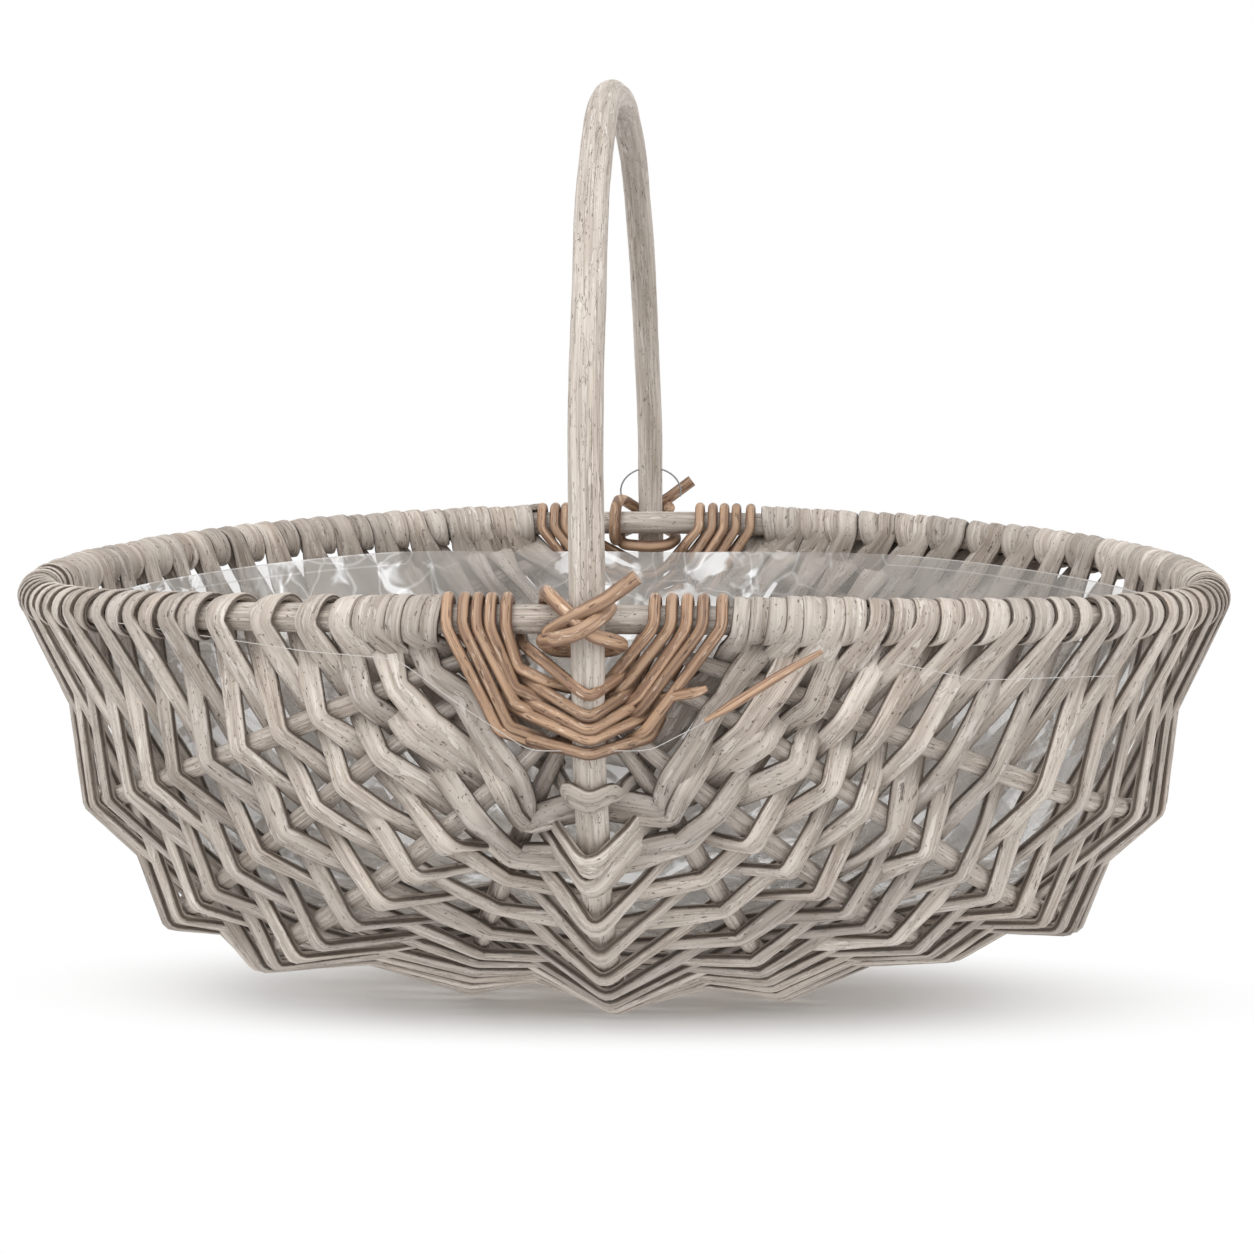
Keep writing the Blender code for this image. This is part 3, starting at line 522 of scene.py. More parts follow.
class Nodes:
    """A node tree, with one way of adding a node: its type, its settings and what its sockets get."""

    def __init__(self, tree):
        self.tree = tree
        tree.nodes.clear()

    def add(self, kind, settings=None, sockets=None, result=0):
        node = self.tree.nodes.new(kind)
        for name, setting in (settings or {}).items():
            setattr(node, name, setting)
        for key, value in (sockets or {}).items():
            self.feed(find_socket(node.inputs, key), value)
        return Value(self, find_socket(node.outputs, result)) if node.outputs else node

    def feed(self, socket, value):
        if isinstance(value, Value):
            self.tree.links.new(value.socket, socket)
        elif socket.type in VECTOR_TYPES and not hasattr(value, "__len__"):
            socket.default_value = [value] * len(socket.default_value)
        elif socket.type == "RGBA" and len(value) == 3:
            socket.default_value = (*value, 1.0)
        else:
            socket.default_value = value

    def calculate(self, operation, *items, clamp=False):
        settings = {"operation": operation, "use_clamp": clamp}
        return self.add("ShaderNodeMath", settings, dict(enumerate(items)))

    def vector_math(self, operation, *items, result=0):
        return self.add("ShaderNodeVectorMath", {"operation": operation}, dict(enumerate(items)), result)

    def combined(self, x, y, z):
        return self.add("ShaderNodeCombineXYZ", {}, {"X": x, "Y": y, "Z": z})

    def part(self, vector, axis):
        return self.add("ShaderNodeSeparateXYZ", {}, {"Vector": vector}, axis)

    def attribute(self, name, result):
        return self.add("ShaderNodeAttribute", {"attribute_name": name}, {}, result)

    def object_place(self):
        return self.add("ShaderNodeTexCoord", {}, {}, "Object")

    def ramp(self, value, low, high):
        """0 below low, 1 above high, and smooth between them."""
        sockets = {"Value": value, "From Min": low, "From Max": high}
        return self.add("ShaderNodeMapRange", {"interpolation_type": "SMOOTHSTEP"}, sockets)

    def ridge(self, value, level, near, far):
        """1 where a value is nearer to a level than near, and 0 beyond far."""
        return 1 - self.ramp(self.calculate("ABSOLUTE", value - level), near, far)

    def noise(self, vector, scale, detail=2.0, roughness=0.5, distortion=0.0, result="Fac"):
        sockets = {"Vector": vector, "Scale": scale, "Detail": detail, "Roughness": roughness}
        return self.add("ShaderNodeTexNoise", {}, {**sockets, "Distortion": distortion}, result)

    def mix(self, share, first, second, blend="MIX"):
        sockets = {"Factor_Float": share, "A_Color": first, "B_Color": second}
        return self.add("ShaderNodeMix", {"data_type": "RGBA", "blend_type": blend}, sockets, "Result_Color")

    def toned(self, colour, tone, darkest, spread):
        """A colour made darker or lighter by a rod's own tone."""
        level = tone * spread + darkest
        return self.mix(1.0, colour, self.combined(level, level, level), "MULTIPLY")

    def seen(self):
        """1 for what is seen directly, mirrored or through the film, and 0 for light on its way."""
        camera, glossy, through = [
            self.add("ShaderNodeLightPath", {}, {}, f"Is {kind} Ray")
            for kind in ("Camera", "Glossy", "Transmission")
        ]
        return self.calculate("ADD", camera, glossy + through, clamp=True)


def find_socket(sockets, key):
    """A socket by its number, its identifier or its name."""
    if isinstance(key, int):
        return sockets[key]
    for socket in sockets:
        if socket.identifier == key:
            return socket
    return sockets[key]


ROD_TREE = "rods along paths"
ROD_INPUTS = (
    ("Sides", "NodeSocketInt", 12),
    ("Bark Depth", "NodeSocketFloat", 0.0003),
    ("Bark Length", "NodeSocketFloat", 0.016),
    ("Squareness", "NodeSocketFloat", 0.0),
    ("Seed", "NodeSocketFloat", 0.0),
    ("Material", "NodeSocketMaterial", None),
)


def rod_tree():
    """Geometry Nodes that sweep a flattened ring along paths and raise the bark on it."""
    tree = bpy.data.node_groups.get(ROD_TREE)
    if tree:
        return tree
    tree = bpy.data.node_groups.new(ROD_TREE, "GeometryNodeTree")
    nodes = Nodes(tree)
    tree.interface.new_socket("Geometry", in_out="INPUT", socket_type="NodeSocketGeometry")
    for name, kind, default in ROD_INPUTS:
        socket = tree.interface.new_socket(name, in_out="INPUT", socket_type=kind)
        if default is not None:
            socket.default_value = default
    tree.interface.new_socket("Geometry", in_out="OUTPUT", socket_type="NodeSocketGeometry")
    group = tree.nodes.new("NodeGroupInput")
    given = {socket.name: Value(nodes, socket) for socket in group.outputs if socket.name}

    def named(name, kind="FLOAT_VECTOR"):
        return nodes.add("GeometryNodeInputNamedAttribute", {"data_type": kind}, {"Name": name}, "Attribute")

    def store(geometry, name, value):
        sockets = {"Geometry": geometry, "Name": name, "Value": value}
        settings = {"data_type": "FLOAT_VECTOR", "domain": "POINT"}
        return nodes.add("GeometryNodeStoreNamedAttribute", settings, sockets)

    curve = nodes.add("GeometryNodeMeshToCurve", {}, {"Mesh": given["Geometry"]})
    position = nodes.add("GeometryNodeInputPosition")
    curve = store(curve, "rod_centre", position)
    circle = {"Resolution": given["Sides"], "Radius": 1.0}
    ring = nodes.add("GeometryNodeCurvePrimitiveCircle", {}, circle, "Curve")
    sweep = {"Curve": curve, "Profile Curve": ring, "Fill Caps": True}
    rod = nodes.add("GeometryNodeCurveToMesh", {}, {**sweep, "Scale": named("rod_half_width", "FLOAT")})
    centre, face, side = named("rod_centre"), named("rod_face"), named("rod_side")
    spoke = position - centre
    out = nodes.vector_math("NORMALIZE", spoke)
    level, rise = [nodes.vector_math("DOT_PRODUCT", out, axis, result="Value") for axis in (side, face)]
    rod = store(rod, "rod_place", nodes.combined(level, rise, named("rod_along", "FLOAT")))
    depth = nodes.vector_math("DOT_PRODUCT", spoke, face, result="Value")
    pressed = spoke - nodes.vector_math("SCALE", face) * (depth * (1 - named("rod_flat", "FLOAT")))
    pressed = pressed * (1 + level * level * rise * rise * 4.0 * given["Squareness"])
    lengthwise = nodes.calculate("DIVIDE", nodes.part(named("rod_place"), "Z"), given["Bark Length"])
    bark = nodes.noise(nodes.combined(level, rise, lengthwise + given["Seed"]), 1.0, 3.0, 0.55) - 0.5
    raised = pressed + out * (bark * given["Bark Depth"] * 2)
    for kind, sockets in (
        ("SetPosition", {"Position": centre + raised}), ("SetShadeSmooth", {"Shade Smooth": True}),
        ("RealizeInstances", {}), ("SetMaterial", {"Material": given["Material"]}),
    ):
        rod = nodes.add(f"GeometryNode{kind}", {}, {"Geometry": rod, **sockets})
    output = tree.nodes.new("NodeGroupOutput")
    tree.links.new(rod.socket, output.inputs[0])
    return tree


def new_object(name, data):
    made = bpy.data.objects.new(name, data)
    bpy.context.scene.collection.objects.link(made)
    return made


def add_rods(name, strands, material, sweep, seed=0.0, closed=False, square=0.0):
    """Rods along their paths as one plain mesh object. The sweep holds their sides and their bark's sizes."""
    mesh = path_mesh(name, strands, seed, closed)
    holder = new_object(name, mesh)
    modifier = holder.modifiers.new("rods", "NODES")
    modifier.node_group = rod_tree()
    chosen = dict(zip([row[0] for row in ROD_INPUTS], (*sweep, square, seed, material)))
    for socket in modifier.node_group.interface.items_tree:
        if socket.in_out == "INPUT" and socket.name in chosen:
            modifier[socket.identifier] = chosen[socket.name]
    graph = bpy.context.evaluated_depsgraph_get()
    solid = bpy.data.meshes.new_from_object(holder.evaluated_get(graph))
    holder.modifiers.remove(modifier)
    holder.data = solid
    bpy.data.meshes.remove(mesh)
    solid.name = name
    for spare in SPARE_FIELDS:
        attribute = solid.attributes.get(spare)
        if attribute:
            solid.attributes.remove(attribute)
    return holder


def settle(piece, slot, *nodes):
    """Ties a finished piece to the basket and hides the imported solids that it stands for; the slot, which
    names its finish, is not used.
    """
    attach(piece, "root")
    if nodes:
        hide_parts(*nodes)


# Finishes


def shade(red, green, blue):
    """A colour as written on a screen, in the linear values that shaders take."""
    return tuple(((level / 255 + 0.055) / 1.055) ** 2.4 for level in (red, green, blue))


WHITE = (1.0, 1.0, 1.0)
GREY_COLOURS = {
    "shade": shade(152, 140, 129),
    "body": shade(192, 182, 172),
    "pale": shade(220, 213, 206),
    "groove": shade(74, 62, 52),
    "warm": shade(222, 206, 190),
}
HANDLE_COLOURS = {
    "shade": shade(168, 157, 146),
    "body": shade(200, 190, 180),
    "pale": shade(220, 213, 206),
    "groove": shade(92, 76, 64),
    "warm": shade(232, 216, 198),
}

# For each bark: colours, fineness round and along the rod, and how strong flakes, warmth, painted shade on
# the rod's sides and scars are
BARKS = {
    "grey willow": (GREY_COLOURS, 1.3, 0.8, 0.5, 0.3, 0.0, 0.5),
    "strand willow": (GREY_COLOURS, 0.9, 0.9, 0.5, 0.3, 0.9, 0.35),
    "handle willow": (HANDLE_COLOURS, 1.7, 0.7, 0.6, 0.2, 0.0, 0.8),
}


def new_finish(name):
    material = bpy.data.materials.new(name)
    material.use_nodes = True
    return material, Nodes(material.node_tree)


def finish_surface(nodes, sockets, height=None, strength=0.5, distance=0.0005):
    if height is not None:
        relief = {"Strength": strength, "Distance": distance, "Height": height}
        sockets["Normal"] = nodes.add("ShaderNodeBump", {}, relief, "Normal")
    surface = nodes.add("ShaderNodeBsdfPrincipled", {}, sockets)
    nodes.add("ShaderNodeOutputMaterial", {}, {"Surface": surface})


def bark_finish(name, colours, fineness, lengthwise, flakes, warmth, side_shade, scars):
    """Peeled and weathered willow: streaks and thin lines along the rod, pale flakes, cracks, and painted
    shade on the rod's sides.
    """
    material, nodes = new_finish(name)
    place, tone = nodes.attribute("rod_place", "Vector"), nodes.attribute("rod_tone", "Fac")

    def along(round_scale, length_scale, detail, distortion=0.0):
        scales = (round_scale * fineness, round_scale * fineness, length_scale * lengthwise)
        return nodes.noise(place * scales, 1.0, detail, 0.55, distortion)

    streak, fibre, line = along(1.6, 22, 4.0), along(6.0, 45, 2.0), along(3.4, 9, 2.0)
    flake, crack = along(2.2, 62, 4.0, 0.3), along(4.0, 120, 3.0, 0.5)
    patch, lump = along(0.5, 9, 2.0), along(1.1, 85, 2.0, 0.8)
    peeled = nodes.ramp(flake, 0.57, 0.63)
    edge = nodes.ridge(flake, 0.585, 0.0, 0.014)
    split = nodes.ramp(crack, 0.66, 0.71)
    grain = nodes.ridge(line, 0.5, 0.0, 0.02) * nodes.ramp(patch, 0.40, 0.60)
    speck = nodes.ramp(along(5.0, 420, 1.0), 0.68, 0.74)
    scar = nodes.ridge(lump, 0.62, 0.0, 0.016) * nodes.ramp(fibre, 0.40, 0.55) * scars
    # Painted shade: the rod's flanks are darkened towards the groove colour, where neighbouring strands would
    # shade them
    painted_side_shade = nodes.ramp(nodes.calculate("ABSOLUTE", nodes.part(place, "X")), 0.84, 0.99) * side_shade
    marks = edge * 0.3 + split * 0.7 + grain * 0.35 + speck * 0.7 + scar + painted_side_shade
    colour = nodes.mix(nodes.ramp(streak, 0.34, 0.66), colours["shade"], colours["body"])
    colour = nodes.mix(nodes.ramp(fibre, 0.35, 0.75) * 0.4, colour, colours["pale"])
    colour = nodes.mix(peeled * flakes, colour, colours["pale"])
    colour = nodes.mix(nodes.calculate("MINIMUM", marks, 1.0), colour, colours["groove"])
    colour = nodes.mix(nodes.ramp(patch, 0.45, 0.75) * warmth, colour, colours["warm"], "MULTIPLY")
    height = streak * 0.5 + fibre * 0.3 + peeled * 0.18 - split * 0.9 - edge * 0.2 - grain * 0.5 - scar * 0.6
    sockets = {
        "Base Color": nodes.toned(colour, tone, 0.83, 0.34), "Specular IOR Level": 0.42,
        "Roughness": 0.62 + streak * 0.16 - peeled * 0.06,
    }
    finish_surface(nodes, sockets, height, 0.7, 0.0007)
    return material


def brown_finish():
    """Buff willow with its skin on: satin, with darker streaks, small scars and painted shade on the rod's
    sides.
    """
    material, nodes = new_finish("brown willow")
    place, tone = nodes.attribute("rod_place", "Vector"), nodes.attribute("rod_tone", "Fac")
    streak = nodes.noise(place * (1.5, 1.5, 16.0), 1.0, 4.0)
    fibre = nodes.noise(place * (7.0, 7.0, 40.0), 1.0, 2.0)
    scar = nodes.ramp(nodes.noise(place * (3.0, 3.0, 150.0), 1.0, 2.0, 0.5, 0.5), 0.62, 0.67)
    elsewhere = place * (2.6, 2.6, 120.0) + (7.0, 3.0, 1.0)
    fleck = nodes.ramp(nodes.noise(elsewhere, 1.0, 2.0, 0.5, 0.4), 0.64, 0.69)
    # Painted shade: the rod's flanks are darkened, where neighbouring turns and the rods behind would shade
    # them
    beside = nodes.ramp(nodes.calculate("ABSOLUTE", nodes.part(place, "X")), 0.62, 0.98)
    colour = nodes.mix(nodes.ramp(streak, 0.32, 0.68), shade(126, 96, 76), shade(184, 151, 122))
    for share, over in (
        (nodes.ramp(fibre, 0.45, 0.8) * 0.35, shade(208, 182, 156)), (fleck * 0.55, shade(222, 204, 184)),
        (scar * 0.75, shade(70, 48, 36)), (beside * 0.7, shade(88, 60, 44)),
    ):
        colour = nodes.mix(share, colour, over)
    sockets = {"Base Color": nodes.toned(colour, tone, 0.85, 0.3), "Roughness": 0.42 + streak * 0.12}
    finish_surface(nodes, sockets, streak * 0.5 + fibre * 0.3 - scar * 0.2, 0.3, 0.0003)
    return material


def film_finish():
    """Clear film: grey and smooth in places, crinkled in others, where white patches are partly whitened
    creases and partly painted highlights; cloudier along its edge and hem.
    """
    material, nodes = new_finish("clear film")
    depth, place = nodes.attribute("film_depth", "Fac"), nodes.object_place()
    bent = place + nodes.noise(place, 24.0, result="Color") * (0.03, 0.03, 0.03)
    facet, border = [
        nodes.add("ShaderNodeTexVoronoi", {"feature": feature}, {"Vector": bent, "Scale": 44.0}, "Distance")
        for feature in ("F1", "DISTANCE_TO_EDGE")
    ]
    crumpled = nodes.ramp(nodes.noise(place, 9.0), 0.38, 0.54)
    haze = nodes.ramp(nodes.noise(place, 11.0, 3.0, 0.55), 0.38, 0.70)
    rim_edge = 1 - nodes.ramp(depth, 0.0004, 0.0011)
    hem = nodes.ridge(depth, 0.0085, 0.0003, 0.0009)
    # Painted highlights: the bright patches and net-like lines of the crinkles are painted white, partly for
    # the film's whitened creases and partly for light caught on the crumples
    bright = nodes.ramp(nodes.noise(bent, 38.0, 3.0, 0.55, 0.6), 0.52, 0.61)
    crease_white_and_highlight = crumpled * (bright * 0.9 + (1 - nodes.ramp(border, 0.0, 0.05)) * 0.35)
    sockets = {
        "Base Color": nodes.mix(crease_white_and_highlight, shade(186, 182, 177), shade(246, 247, 248)),
        "Roughness": 0.14 + crease_white_and_highlight * 0.2,
        "Alpha": 0.36 + haze * 0.22 + crease_white_and_highlight * 0.46 + rim_edge * 0.5 + hem * 0.25,
        "Specular IOR Level": 0.9,
    }
    finish_surface(nodes, sockets, facet * (crumpled * 0.8 + 0.2), 0.35, 0.004)
    return material


def plain_finish(name, colour, roughness, alpha=1.0, metallic=0.0):
    material, nodes = new_finish(name)
    wear = nodes.noise(nodes.object_place(), 400.0)
    sockets = {
        "Base Color": nodes.mix(wear * 0.35, colour, tuple(level * 0.7 for level in colour)),
        "Roughness": roughness + wear * 0.1, "Alpha": alpha, "Metallic": metallic,
    }
    finish_surface(nodes, sockets)
    return material


def finish_of(name):
    """The finish of that name, made the first time it is asked for."""
    made = bpy.data.materials.get(name)
    if made:
        return made
    if name in BARKS:
        return bark_finish(name, *BARKS[name])
    return brown_finish() if name == "brown willow" else film_finish()


# Sizes and colours that a user would change


def length(name, description, default):
    return FloatProperty(name=name, description=description, default=default, unit="LENGTH")


class StrandSizes(bpy.types.PropertyGroup):
    half_width: length("Half width", "Half the width of a grey strand", 0.0047)
    half_depth: length("Half depth", "Half the thickness of a grey strand", 0.0026)
    gap: length("Gap", "Gap between a strand and a rib", 0.0001)
    rim_reach: length("Rim reach", "How far a row's end lies from the rim's centre", 0.0094)
    wrap_half_width: length("Wrap half width", "Half the width of a wrap on the rim", 0.0060)
    wrap_half_depth: length("Wrap half depth", "Half the thickness of a wrap", 0.0017)
    wrap_reach: length("Wrap reach", "From the rim's centre to a wrap's centre", 0.00865)
    wrap_lift: length("Wrap lift", "How far wraps lie over each other at most", 0.0007)
    wrap_tilt: FloatProperty(
        name="Wrap tilt", description="Slope of a wrap, which lifts its edge towards the ear", default=0.17
    )
    wrap_jitter: length("Wrap jitter", "How unevenly wraps are spaced", 0.0007)
    row_jitter: length("Row jitter", "How unevenly rows cross the ribs", 0.0011)
    wander: length("Wander", "How far strands bow sideways between ribs", 0.0013)
    bend: FloatProperty(
        name="Bend", description="How round a strand bends at a rib, as a share of its reach", default=0.55
    )
    ramp: length("Narrowing", "Length over which a wrap narrows to a strand", 0.028)
    seed: IntProperty(name="Seed", description="Seed of all that is uneven in the weave", default=7)


class LiningSizes(bpy.types.PropertyGroup):
    across: IntProperty(name="Across", description="Steps of the film across the basket", default=220)
    lengthwise: IntProperty(
        name="Lengthwise", description="Steps of the film from ear to ear, on each half", default=100
    )
    crumple: length("Crumple", "Depth of the film's creases", 0.0075)
    edge_drop: length("Edge drop", "How far the film's edge lies below the rim's centre", 0.012)
    seed: IntProperty(name="Seed", description="Seed of the creases", default=3)


class StageSettings(bpy.types.PropertyGroup):
    key_power: FloatProperty(
        name="Key light", description="Power of the soft light over the front", default=36.0, unit="POWER"
    )
    fill_power: FloatProperty(
        name="Fill light", description="Power of the soft light from the right", default=8.0, unit="POWER"
    )
    sky: FloatProperty(name="Sky", description="Strength of the light from all round", default=0.92)
    floor_colour: FloatVectorProperty(
        name="Floor", description="Colour of the floor", subtype="COLOR", default=(0.9, 0.9, 0.9)
    )


# How rods are swept: their sides, and the depth and length of their bark's lumps
RIM_SWEEP = (24, 0.00035, 0.03)
HANDLE_SWEEP = (28, 0.0005, 0.035)
RIB_SWEEP = (16, 0.0004, 0.02)
STRAND_SWEEP = (14, 0.0003, 0.014)
LASHING_SWEEP = (14, 0.00005, 0.03)
TAIL_SWEEP = (10, 0.0002, 0.01)
THREAD_SWEEP = (6, 0.0, 0.02)
WIRE_SWEEP = (8, 0.0, 0.02)

# Frame rods
FRAME_SEED = 11
FLATNESS = 0.97
RIM_TONE = 0.68
HANDLE_TONE = 0.55
RIB_TONES = (0.2, 0.8)


def even_rod(points, radius, face, rng, lumps, wobble, period=0.11):
    """A frame rod along points, with slow changes of its place and thickness as a grown rod has."""
    marks = distances_along(points)
    swell, shift = 0.0, 0.0
    for harmonic in range(1, round(marks[-1] / period) + 1):
        phases = rng.uniform(0, math.tau, 4)
        wave = math.tau * harmonic * marks / marks[-1]
        swell = swell + np.sin(wave + phases[0]) / math.sqrt(harmonic)
        shift = shift + np.sin(wave[:, None] + phases[1:]) / math.sqrt(harmonic)
    columns = np.zeros((len(points), len(MIRROR)))
    columns[:, :3] = points + wobble * shift
    columns[:, 3] = radius * (1 + lumps * swell)
    columns[:, 4] = columns[:, 3] * FLATNESS
    columns[:, 5:8] = face
    return columns


def sampled(line):
    """Places at even steps along a line, and their distances from its front end."""
    marks = np.linspace(0, line.length, round(line.length / ROD_STEP) + 1)
    return line.at(marks), marks


class BASKET_OT_frame(bpy.types.Operator):
    """Makes the rim hoop, the handle hoop and the eight ribs with their bark"""

    bl_idname = "basket.make_frame"
    bl_label = "Make Frame Rods"

    def execute(self, context):
        rng = np.random.default_rng(FRAME_SEED)
        grey = finish_of("grey willow")
        rim = np.vstack((sampled(RIM_LINES[LEFT])[0], sampled(RIM_LINES[RIGHT])[0][-2:0:-1]))
        columns = even_rod(rim, RIM_RADIUS, UP, rng, lumps=0.006, wobble=0.00008)
        piece = add_rods("rim_rod", [(columns, RIM_TONE)], grey, RIM_SWEEP, seed=3.0, closed=True)
        settle(piece, "grey_willow", "rim_hoop")
        self.make_handle(rng)
        for (number, side), line in RIB_LINES.items():
            points, marks = sampled(line)
            radius = rib_radius(np.minimum(marks, line.length - marks))
            columns = even_rod(points, radius, UP, rng, lumps=0.012, wobble=0.00012)
            word = f"{SIDE_WORDS[side]}_{number}"
            strands = [(columns, rng.uniform(*RIB_TONES))]
            piece = add_rods(f"rib_rod_{word}", strands, grey, RIB_SWEEP, seed=number * 3.1 + side)
            settle(piece, "grey_willow", f"rib_{word}")
        return {"FINISHED"}

    def make_handle(self, rng):
        handle, marks = sampled(HANDLE_LINE)
        keel = sampled(KEEL_LINE)[0][-2:0:-1]
        growth = (HANDLE_RADIUS_BACK - HANDLE_RADIUS_FRONT) * marks / marks[-1]
        radii = np.concatenate((HANDLE_RADIUS_FRONT + growth, np.full(len(keel), KEEL_RADIUS)))
        points = np.vstack((handle, keel))
        columns = even_rod(points, radii, (1, 0, 0), rng, lumps=0.009, wobble=0.00025, period=0.09)
        grey = finish_of("handle willow")
        piece = add_rods("handle_rod", [(columns, HANDLE_TONE)], grey, HANDLE_SWEEP, seed=8.0, closed=True)
        settle(piece, "grey_handle", "handle_hoop")


# Slow changes of a strand's width along it: their size, their turn at each step and where they start
WIDTH_WAVES = ((0.07, 0.11, 0), (0.05, 0.29, 1))
SQUARENESS = 0.13
SEED_OFFSETS = {FRONT: 0, BACK: 50}


class BASKET_OT_weave(bpy.types.Operator):
    """Weaves the grey strands of both halves, one piece for each rod"""

    bl_idname = "basket.weave_strands"
    bl_label = "Weave Grey Strands"

    def execute(self, context):
        sizes = context.scene.basket_strands
        grey = finish_of("strand willow")
        for half, offset in SEED_OFFSETS.items():
            rng = np.random.default_rng(sizes.seed + offset)
            columns = Weave(half, sizes, rng).route().smooth()
            if half == BACK:
                columns = columns * MIRROR
            row_column = columns[:, 8]
            tone = np.interp(row_column, np.arange(ROWS), rng.uniform(0.0, 1.0, ROWS))
            steps = np.arange(len(columns))
            columns[:, 3] *= 1 + sum(size * np.sin(steps * turn + start) for size, turn, start in WIDTH_WAVES)
            row = 0
            for number, count in enumerate(ROWS_IN_EACH_ROD, start=1):
                inside = np.flatnonzero((row_column >= row - 0.5) & (row_column < row + count - 0.5))
                span = slice(inside[0], min(inside[-1] + 2, len(columns)))
                name, strands = f"strand_{half}_{number:02d}", [(columns[span], tone[span])]
                seed = number * 5.3 + offset
                piece = add_rods(name, strands, grey, STRAND_SWEEP, seed=seed, square=SQUARENESS)
                settle(piece, "grey_willow", f"weaver_{half}_{number:02d}")
                row += count
        return {"FINISHED"}


# Ear lashings. Each turn has a steep strand outside the rim and the ribs, and a level one outside the keel.
# For each turn: x on the rim and (x, z) of the corner of the steep strand at the left and at the right, then
# (x, z) of the level one's left corner, its height at the keel and (x, z) of its right corner
LASHING_RADIUS = 0.0028
LASHING_STEP = 0.0018
TIE_FLATNESS = 0.94
TONE_WAVE = (0.5, 0.4, 0.017)
LASHING_TURNS = (
    (-0.0368, (-0.0318, 0.2058), 0.0297, (0.0148, 0.2071),
     (-0.0296, 0.2152), 0.1953, (0.0172, 0.2041)),
    (-0.0439, (-0.0331, 0.1967), 0.0373, (0.0184, 0.2008),
     (-0.0302, 0.2001), 0.1860, (0.0204, 0.1960)),
    (-0.0500, (-0.0330, 0.1894), 0.0442, (0.0224, 0.1931),
     (-0.0321, 0.1921), 0.1801, (0.0235, 0.1902)),
    (-0.0562, (-0.0357, 0.1790), 0.0513, (0.0229, 0.1867),
     (-0.0359, 0.1873), 0.1753, (0.0267, 0.1839)),
    (-0.0638, (-0.0404, 0.1771), 0.0598, (0.0255, 0.1777),
     (-0.0323, 0.1738), 0.1689, (0.0273, 0.1738)),
)
OUTSIDE_DEPTH = -0.2545
LEVEL_DEPTH = -0.2480
INSIDE_DEPTH = -0.2330
RIM_CORNERS = (-10, 60, 120, 190)
RIM_GAP = 0.0001


def keel_depth_at(height):
    """How far the keel's centre lies from the middle of the basket at a height."""
    share = (RIM_HEIGHT - height) / (RIM_HEIGHT - KEEL_HEIGHT)
    return HOOP_HALF_WIDTH * (1 - share**KEEL_ROUNDNESS) ** (1 / KEEL_ROUNDNESS)


def rim_centre_at(x):
    """The centre of the rim's front at an x."""
    line = RIM_LINES[RIGHT if x > 0 else LEFT]
    half = ARCH_POINTS // 2
    return line.at(np.interp(abs(x), np.abs(line.points[:half, 0]), line.marks[:half]))


def over_rim(x, step):
    """The knots of a lashing on its way over the rim at an x. Step 1 goes inward and -1 outward."""
    centre = rim_centre_at(x)
    reach = (RIM_RADIUS + LASHING_RADIUS + RIM_GAP) / math.cos(math.radians(30))
    knots = []
    for degrees in RIM_CORNERS[::step]:
        turn = math.radians(degrees)
        outward = np.array((0.0, -math.cos(turn), math.sin(turn)))
        knots.append((centre + outward * reach, RIM_RADIUS + LASHING_RADIUS))
    return knots


def ear_lashing_route():
    route = Route()
    for left_top, left, right_top, right, level_left, keel_height, level_right in LASHING_TURNS:
        (left_x, left_z), (right_x, right_z) = left, right
        behind = -(keel_depth_at(left_z - 0.012) - KEEL_RADIUS - LASHING_RADIUS)
        front = -(keel_depth_at(keel_height) + KEEL_RADIUS + LASHING_RADIUS)
        knots = [
            *over_rim(left_top, -1),
            ((left_x, OUTSIDE_DEPTH, left_z), 0.005),
            ((left_x * 0.55, behind - 0.001, left_z - 0.007), 0.01),
            ((0.0, behind + 0.0015, min(left_z, right_z) - 0.011), 0.02),
            ((right_x * 0.6, behind - 0.001, right_z - 0.007), 0.01),
            ((right_x, OUTSIDE_DEPTH, right_z), 0.005),
            *over_rim(right_top, 1),
            ((level_right[0] * 1.25, INSIDE_DEPTH, level_right[1] + 0.012), 0.008),
            ((level_right[0], LEVEL_DEPTH, level_right[1]), 0.008),
            ((0.0015, front - 0.0008, keel_height), 0.004),
            ((level_left[0], LEVEL_DEPTH, level_left[1]), 0.008),
            ((level_left[0] * 1.15, INSIDE_DEPTH, level_left[1] + 0.010), 0.008),
        ]
        for place, bend in knots:
            face = unit(np.array((0.0, place[1], 0.1)))
            route.add(place, LASHING_RADIUS, LASHING_RADIUS * TIE_FLATNESS, face, bend)
    return route


